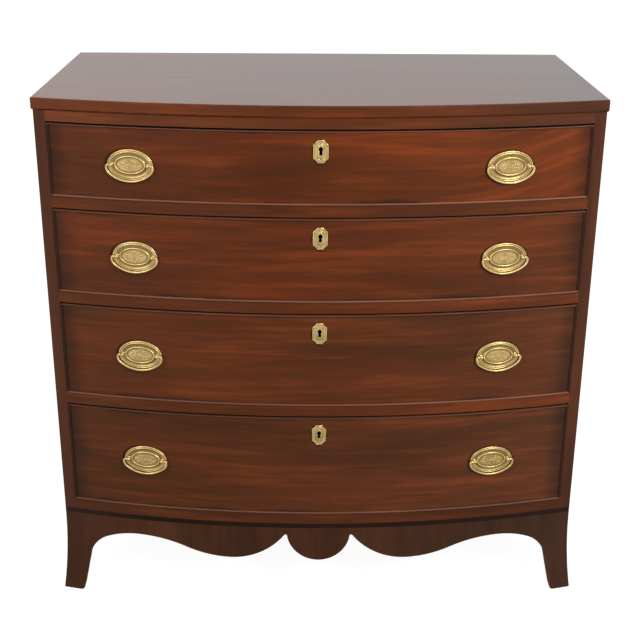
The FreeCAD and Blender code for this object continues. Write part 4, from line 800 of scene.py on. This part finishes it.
def makeBail():
    spec = bailSpec
    y = -postSpec["hinge"]
    across = spec["halfWide"] - spec["endRadius"]
    ovalDrop = spec["drop"] - spec["corner"]
    belly = (across ** 2 + ovalDrop ** 2 - spec["endRadius"] ** 2) / (2 * (ovalDrop - spec["endRadius"]))
    bellyZ = belly - spec["drop"]
    endTurn = math.atan2(bellyZ + spec["corner"], across)
    deselectAll()
    bpy.ops.mesh.primitive_circle_add(vertices=16, radius=spec["pin"], fill_type="NGON",
                                      rotation=(0, math.pi / 2, 0), location=(spec["pinEnd"], y, 0))
    bail = keepAs("bail")
    openEdit(bail)
    bpy.ops.mesh.select_all(action="SELECT")

    def run(distance, ratio=1.0, at=0.0):
        bpy.ops.mesh.extrude_region_move(TRANSFORM_OT_translate={"value": (distance, 0, 0)})
        if ratio != 1.0:
            bpy.ops.transform.resize(value=(1, ratio, ratio), center_override=(at, y, 0))

    def bend(centreX, centreZ, angle, steps):
        bpy.ops.mesh.spin(steps=steps, angle=-angle, center=(centreX, y, centreZ), axis=(0, 1, 0))

    rodShare = spec["rod"] / spec["pin"]
    step, stepShare = spec["step"], spec["stepShare"]
    run(spec["shoulder"] - spec["pinEnd"])
    run(0.0, rodShare * stepShare, spec["shoulder"])
    run(step, 1 / stepShare, spec["shoulder"] + step)
    run(spec["halfWide"] - spec["corner"] - spec["shoulder"] - step)
    bend(spec["halfWide"] - spec["corner"], -spec["corner"], math.pi / 2, 8)
    bend(across, -spec["corner"], endTurn, 8)
    bend(0, bellyZ, math.pi - 2 * endTurn, 18)
    bend(-across, -spec["corner"], endTurn, 8)
    bend(spec["corner"] - spec["halfWide"], -spec["corner"], math.pi / 2, 8)
    run(spec["halfWide"] - spec["corner"] - spec["shoulder"] - step)
    run(step, stepShare, -spec["shoulder"])
    run(0.0, 1 / (rodShare * stepShare), -spec["shoulder"])
    run(spec["shoulder"] - spec["pinEnd"])
    bpy.ops.mesh.select_all(action="SELECT")
    bpy.ops.mesh.remove_doubles(threshold=0.02 * mm)
    return closeEdit(bail, 40)


keyPlateSpec = {
    "wide": 26.2 * mm,
    "tall": 40.6 * mm,
    "hollow": 7.8 * mm,
    "edge": 0.7 * mm,
    "steps": ((0.35, 0.35), (0.7, 0.1), (0.4, -0.35), (0.5, 0.0)),  # inward and out, in mm
    "field": ((8.7, 15.7, 0.9), (8.4, 15.4, 1.3), (8.0, 15.0, 1.4), (7.6, 14.6, 1.2), (7.3, 14.3, 1.0),
              (6.7, 13.7, 1.1), (6.2, 13.2, 1.5), (5.0, 11.8, 1.9), (3.2, 9.0, 2.15), (1.2, 4.0, 2.25)),
    "brad": {"radius": 0.9 * mm, "up": 18.0 * mm},
    "beads": {"count": 30, "radius": 0.62 * mm, "wide": 10.3 * mm, "tall": 16.9 * mm, "out": 1.0 * mm,
              "upTo": 15.5 * mm},
    "key": {"rise": 4.6 * mm, "round": 4.1 * mm, "slot": 1.8 * mm, "foot": 3.0 * mm, "long": 10.5 * mm,
            "deep": 12 * mm},
}


def makeStud(name, radius, fineness, place):
    deselectAll()
    segments, rings = fineness
    bpy.ops.mesh.primitive_uv_sphere_add(segments=segments, ring_count=rings, radius=radius, location=place)
    return keepAs(name)


def makeStuds():  # the brads at both ends, and the beads of the border between them
    brad, beads = keyPlateSpec["brad"], keyPlateSpec["beads"]
    studs = []
    for side in (-1, 1):
        studs.append(makeStud("brad", brad["radius"], (12, 8), (0, -brad["radius"], side * brad["up"])))
    for index in range(beads["count"]):
        turn = 2 * math.pi * (index + 0.5) / beads["count"]
        x, z = beads["wide"] * math.cos(turn), beads["tall"] * math.sin(turn)
        if abs(z) <= beads["upTo"]:
            studs.append(makeStud("borderBead", beads["radius"], (8, 6), (x, -beads["out"], z)))
    return studs


def makeKeyCutter():  # a round, and below it a slot that widens downward
    key = keyPlateSpec["key"]
    deselectAll()
    bpy.ops.mesh.primitive_cylinder_add(vertices=32, radius=key["round"], depth=key["deep"],
                                        rotation=(math.pi / 2, 0, 0), location=(0, 0, key["rise"]))
    keyRound = keepAs("keyRound")
    deselectAll()
    middle = key["rise"] - key["long"] / 2
    bpy.ops.mesh.primitive_cube_add(size=1, location=(0, 0, middle),
                                    scale=(2 * key["slot"], key["deep"], key["long"]))
    slot = keepAs("keySlot")
    openEdit(slot, "VERT")
    pickVertices(slot, lambda spot: spot.z < middle)
    bpy.ops.transform.resize(value=(key["foot"] / key["slot"], 1, 1), center_override=(0, 0, 0))
    closeEdit(slot)
    return joinInto(slot, [keyRound])


def makeKeyPlate():
    spec = keyPlateSpec
    deselectAll()
    bpy.ops.mesh.primitive_plane_add(size=1, rotation=(math.pi / 2, 0, 0))
    plate = keepAs("keyPlate")
    resizeAll(plate, (spec["wide"], 1, spec["tall"]))
    bpy.ops.mesh.select_mode(type="VERT")
    bpy.ops.mesh.select_all(action="SELECT")
    bpy.ops.mesh.bevel(offset=spec["hollow"], segments=6, profile=0.2, affect="VERTICES")
    bpy.ops.mesh.select_mode(type="FACE")
    bpy.ops.mesh.select_all(action="SELECT")
    bpy.ops.mesh.extrude_region_move(TRANSFORM_OT_translate={"value": (0, -spec["edge"], 0)})
    for inward, out in spec["steps"]:
        bpy.ops.mesh.inset(thickness=inward * mm, depth=out * mm, use_even_offset=True)
    closeEdit(plate, 40)
    field = ringedOval("keyField", 64, spec["field"])
    closeEdit(field, 40)

    cutter = makeKeyCutter()
    for sheet in (plate, field):
        cutInto(sheet, cutter)
        openEdit(sheet)
        closeEdit(sheet, 40)
    bpy.data.objects.remove(cutter, do_unlink=True)
    joinInto(plate, [field] + makeStuds())
    dirtyUp(plate)
    return plate


print("modelling the brass")
pullPlate = makePullPlate()
bailPost = makePost()
bailRod = makeBail()
keyPlate = makeKeyPlate()
print("brass masters:", [len(item.data.polygons) for item in (pullPlate, bailPost, bailRod, keyPlate)])


def fitPiece(piece, material, body, node):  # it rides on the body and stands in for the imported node
    piece.data.materials.clear()
    piece.data.materials.append(material)
    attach(piece, body)
    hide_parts(node)


for number in drawerNumbers:
    body = "drawer_%d" % number
    plates, posts = [], []
    for word in ("left", "right"):
        hinge = hinges["%s_bail_%s_hinge" % (body, word)]
        turn = math.atan2(-hinge["axis"][1], -hinge["axis"][0])
        outward = Vector((math.sin(turn), -math.cos(turn), 0))
        seat = Vector(hinge["pos_m"]) - outward * postSpec["hinge"]
        place = Matrix.Translation(seat) @ Matrix.Rotation(turn, 4, "Z")
        plates.append(copyTo(pullPlate, "pullPlate_%d_%s" % (number, word), place))
        for side in (-1, 1):
            shift = Matrix.Translation((side * postSpec["apart"], 0, 0))
            posts.append(copyTo(bailPost, "post", place @ shift))
        bail = copyTo(bailRod, "bail_%d_%s" % (number, word), place)
        fitPiece(bail, metals["rod"], "%s_bail_%s" % (body, word), "%s_bail_%s" % (body, word))
    plate = joinInto(plates[0], plates[1:])
    plate.name = "pullPlates_%d" % number
    fitPiece(plate, metals["brass"], body, body + "_pull_plates")
    post = joinInto(posts[0], posts[1:])
    post.name = "bailPosts_%d" % number
    fitPiece(post, metals["rod"], body, body + "_pull_posts")
    low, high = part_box(body + "_escutcheon")
    place = Matrix.Translation((0, high.y, (low.z + high.z) / 2))
    keyhole = copyTo(keyPlate, "keyPlate_%d" % number, place)
    fitPiece(keyhole, metals["brass"], body, body + "_escutcheon")
for master in (pullPlate, bailPost, bailRod, keyPlate):
    bpy.data.objects.remove(master, do_unlink=True)
print("brass fitted")


def paint(name, material):
    item = nodes[name]
    for held in item.material_slots:
        held.material = material


paint("top_board", woods["top"])
paint("top_rails", woods["topRails"])
paint("drawer_rails", woods["rails"])
paint("base_band", woods["band"])
for name in ("case_side_left", "case_side_right"):
    paint(name, woods["case"])
for name in ("apron_front", "side_aprons"):
    paint(name, woods["apron"])
for name in ("case_back", "foot_blocks"):
    paint(name, woods["pine"])
for name in ("dust_panels", "drawer_runners"):
    paint(name, woods["crossLining"])
for number in drawerNumbers:
    body = "drawer_%d" % number
    paint(body + "_front", makeFrontWood(number))
    paint(body + "_cockbeads", makeBeadWood(number))
    paint(body + "_sides", woods["lining"])
    paint(body + "_back", woods["crossLining"])
    paint(body + "_bottom", woods["crossLining"])
    paint(body + "_lock", metals["lock"])
    paint(body + "_lock_bolt", metals["iron"])
print("finishes laid on")


stageSpec = {
    "floorSize": 60,
    "floorTone": 0.3,
    "floorRough": 0.9,
    "floorLift": 0.93,
    "worldFill": 0.5,
    # what polish mirrors, each as two places and the level at each
    "glossFloor": (0.4, 1.3, 0.25, 1.2),  # by the floor's distance to the side
    "glossRoom": (-0.4, 0.5, 0.6, 0.52),  # from in front to behind
    "glossHeight": (0.15, 0.7, 1.0, 2.2),  # times this, overhead
}


def raySwitch(tree, spot):  # 1 for camera and transmission rays, and 1 for glossy rays
    path = addNode(tree, "ShaderNodeLightPath", spot)
    seen = mathNode(tree, (spot[0] + 200, spot[1]), "MAXIMUM",
                    path.outputs["Is Camera Ray"], path.outputs["Is Transmission Ray"])
    return seen, path.outputs["Is Glossy Ray"]


def makeFloor():
    spec = stageSpec
    deselectAll()
    bpy.ops.mesh.primitive_plane_add(size=spec["floorSize"])
    floor = keepAs("floor")
    material, tree, shader, place = newMaterial("paleFloor")
    parts = splitAxes(tree, place, (-1200, -900))
    aside = mathNode(tree, (-1000, -900), "ABSOLUTE", parts["X"])
    wide = ramp(tree, aside, (-800, -900), *spec["glossFloor"], smooth=True)
    seen, glossy = raySwitch(tree, (-900, -600))
    level = mathNode(tree, (-350, -600), "MAXIMUM",
                     mathNode(tree, (-500, -500), "MULTIPLY", seen, spec["floorLift"]),
                     mathNode(tree, (-500, -700), "MULTIPLY", glossy, wide))
    lift = addNode(tree, "ShaderNodeCombineColor", (-200, -600))
    for socket in lift.inputs:
        link(tree, level, socket)
    for label, value in (("Base Color", (spec["floorTone"],) * 3 + (1.0,)), ("Roughness", spec["floorRough"]),
                         ("Specular IOR Level", 0.0), ("Emission Color", lift.outputs["Color"]),
                         ("Emission Strength", 1.0)):
        feed(tree, shader.inputs[label], value)
    floor.data.materials.append(material)


def makeWorld():
    spec = stageSpec
    world = bpy.data.worlds.new("studio")
    bpy.context.scene.world = world
    world.use_nodes = True
    tree = world.node_tree
    back = tree.nodes["Background"]
    back.inputs["Color"].default_value = (1, 1, 1, 1)
    coords = addNode(tree, "ShaderNodeTexCoord", (-1200, -300))
    parts = splitAxes(tree, coords.outputs["Generated"], (-1000, -300))
    room = ramp(tree, parts["Y"], (-800, -300), *spec["glossRoom"], smooth=True)
    height = ramp(tree, parts["Z"], (-800, -600), *spec["glossHeight"], smooth=True)
    shine = mathNode(tree, (-650, -400), "MULTIPLY", room, height)
    seen, glossy = raySwitch(tree, (-900, 0))
    level = spec["worldFill"]
    for factor, strength, x in ((glossy, shine, -500), (seen, 1.0, -300)):
        mix = addNode(tree, "ShaderNodeMix", (x, 0))
        for label, value in (("Factor", factor), ("A", level), ("B", strength)):
            feed(tree, mix.inputs[label], value)
        level = mix.outputs["Result"]
    link(tree, level, back.inputs["Strength"])


lampSpec = {
    "keyLamp": {"place": (1.7, -2.6, 2.6), "target": (0, 0, 0.6), "size": 1.2, "power": 50},
    "fillLamp": {"place": (-2.2, -2.4, 2.0), "target": (0, 0, 0.5), "size": 1.2, "power": 20},
}


def makeLamp(name):
    spec = lampSpec[name]
    lamp = bpy.data.lights.new(name, "AREA")
    lamp.size = spec["size"]
    lamp.energy = spec["power"]
    item = bpy.data.objects.new(name, lamp)
    bpy.context.scene.collection.objects.link(item)
    item.location = spec["place"]
    item.rotation_euler = (Vector(spec["target"]) - item.location).to_track_quat("-Z", "Y").to_euler()


cameraSpec = {"place": (-0.0246, -2.2774, 1.4049), "yaw": -0.0125, "down": 0.3778, "roll": 0.007,
              "lens": 66.52, "sensor": 36}


def makeCamera():
    spec = cameraSpec
    lens = bpy.data.cameras.new("camera")
    lens.lens = spec["lens"]
    lens.sensor_width = spec["sensor"]
    lens.clip_end = 100
    item = bpy.data.objects.new("camera", lens)
    bpy.context.scene.collection.objects.link(item)
    item.matrix_world = (Matrix.Translation(spec["place"]) @ Matrix.Rotation(spec["yaw"], 4, "Z")
                         @ Matrix.Rotation(math.pi / 2 - spec["down"], 4, "X")
                         @ Matrix.Rotation(spec["roll"], 4, "Z"))
    bpy.context.scene.camera = item


makeFloor()
makeWorld()
for name in lampSpec:
    makeLamp(name)
makeCamera()
bpy.context.scene.view_settings.view_transform = "Standard"
print("stage set")
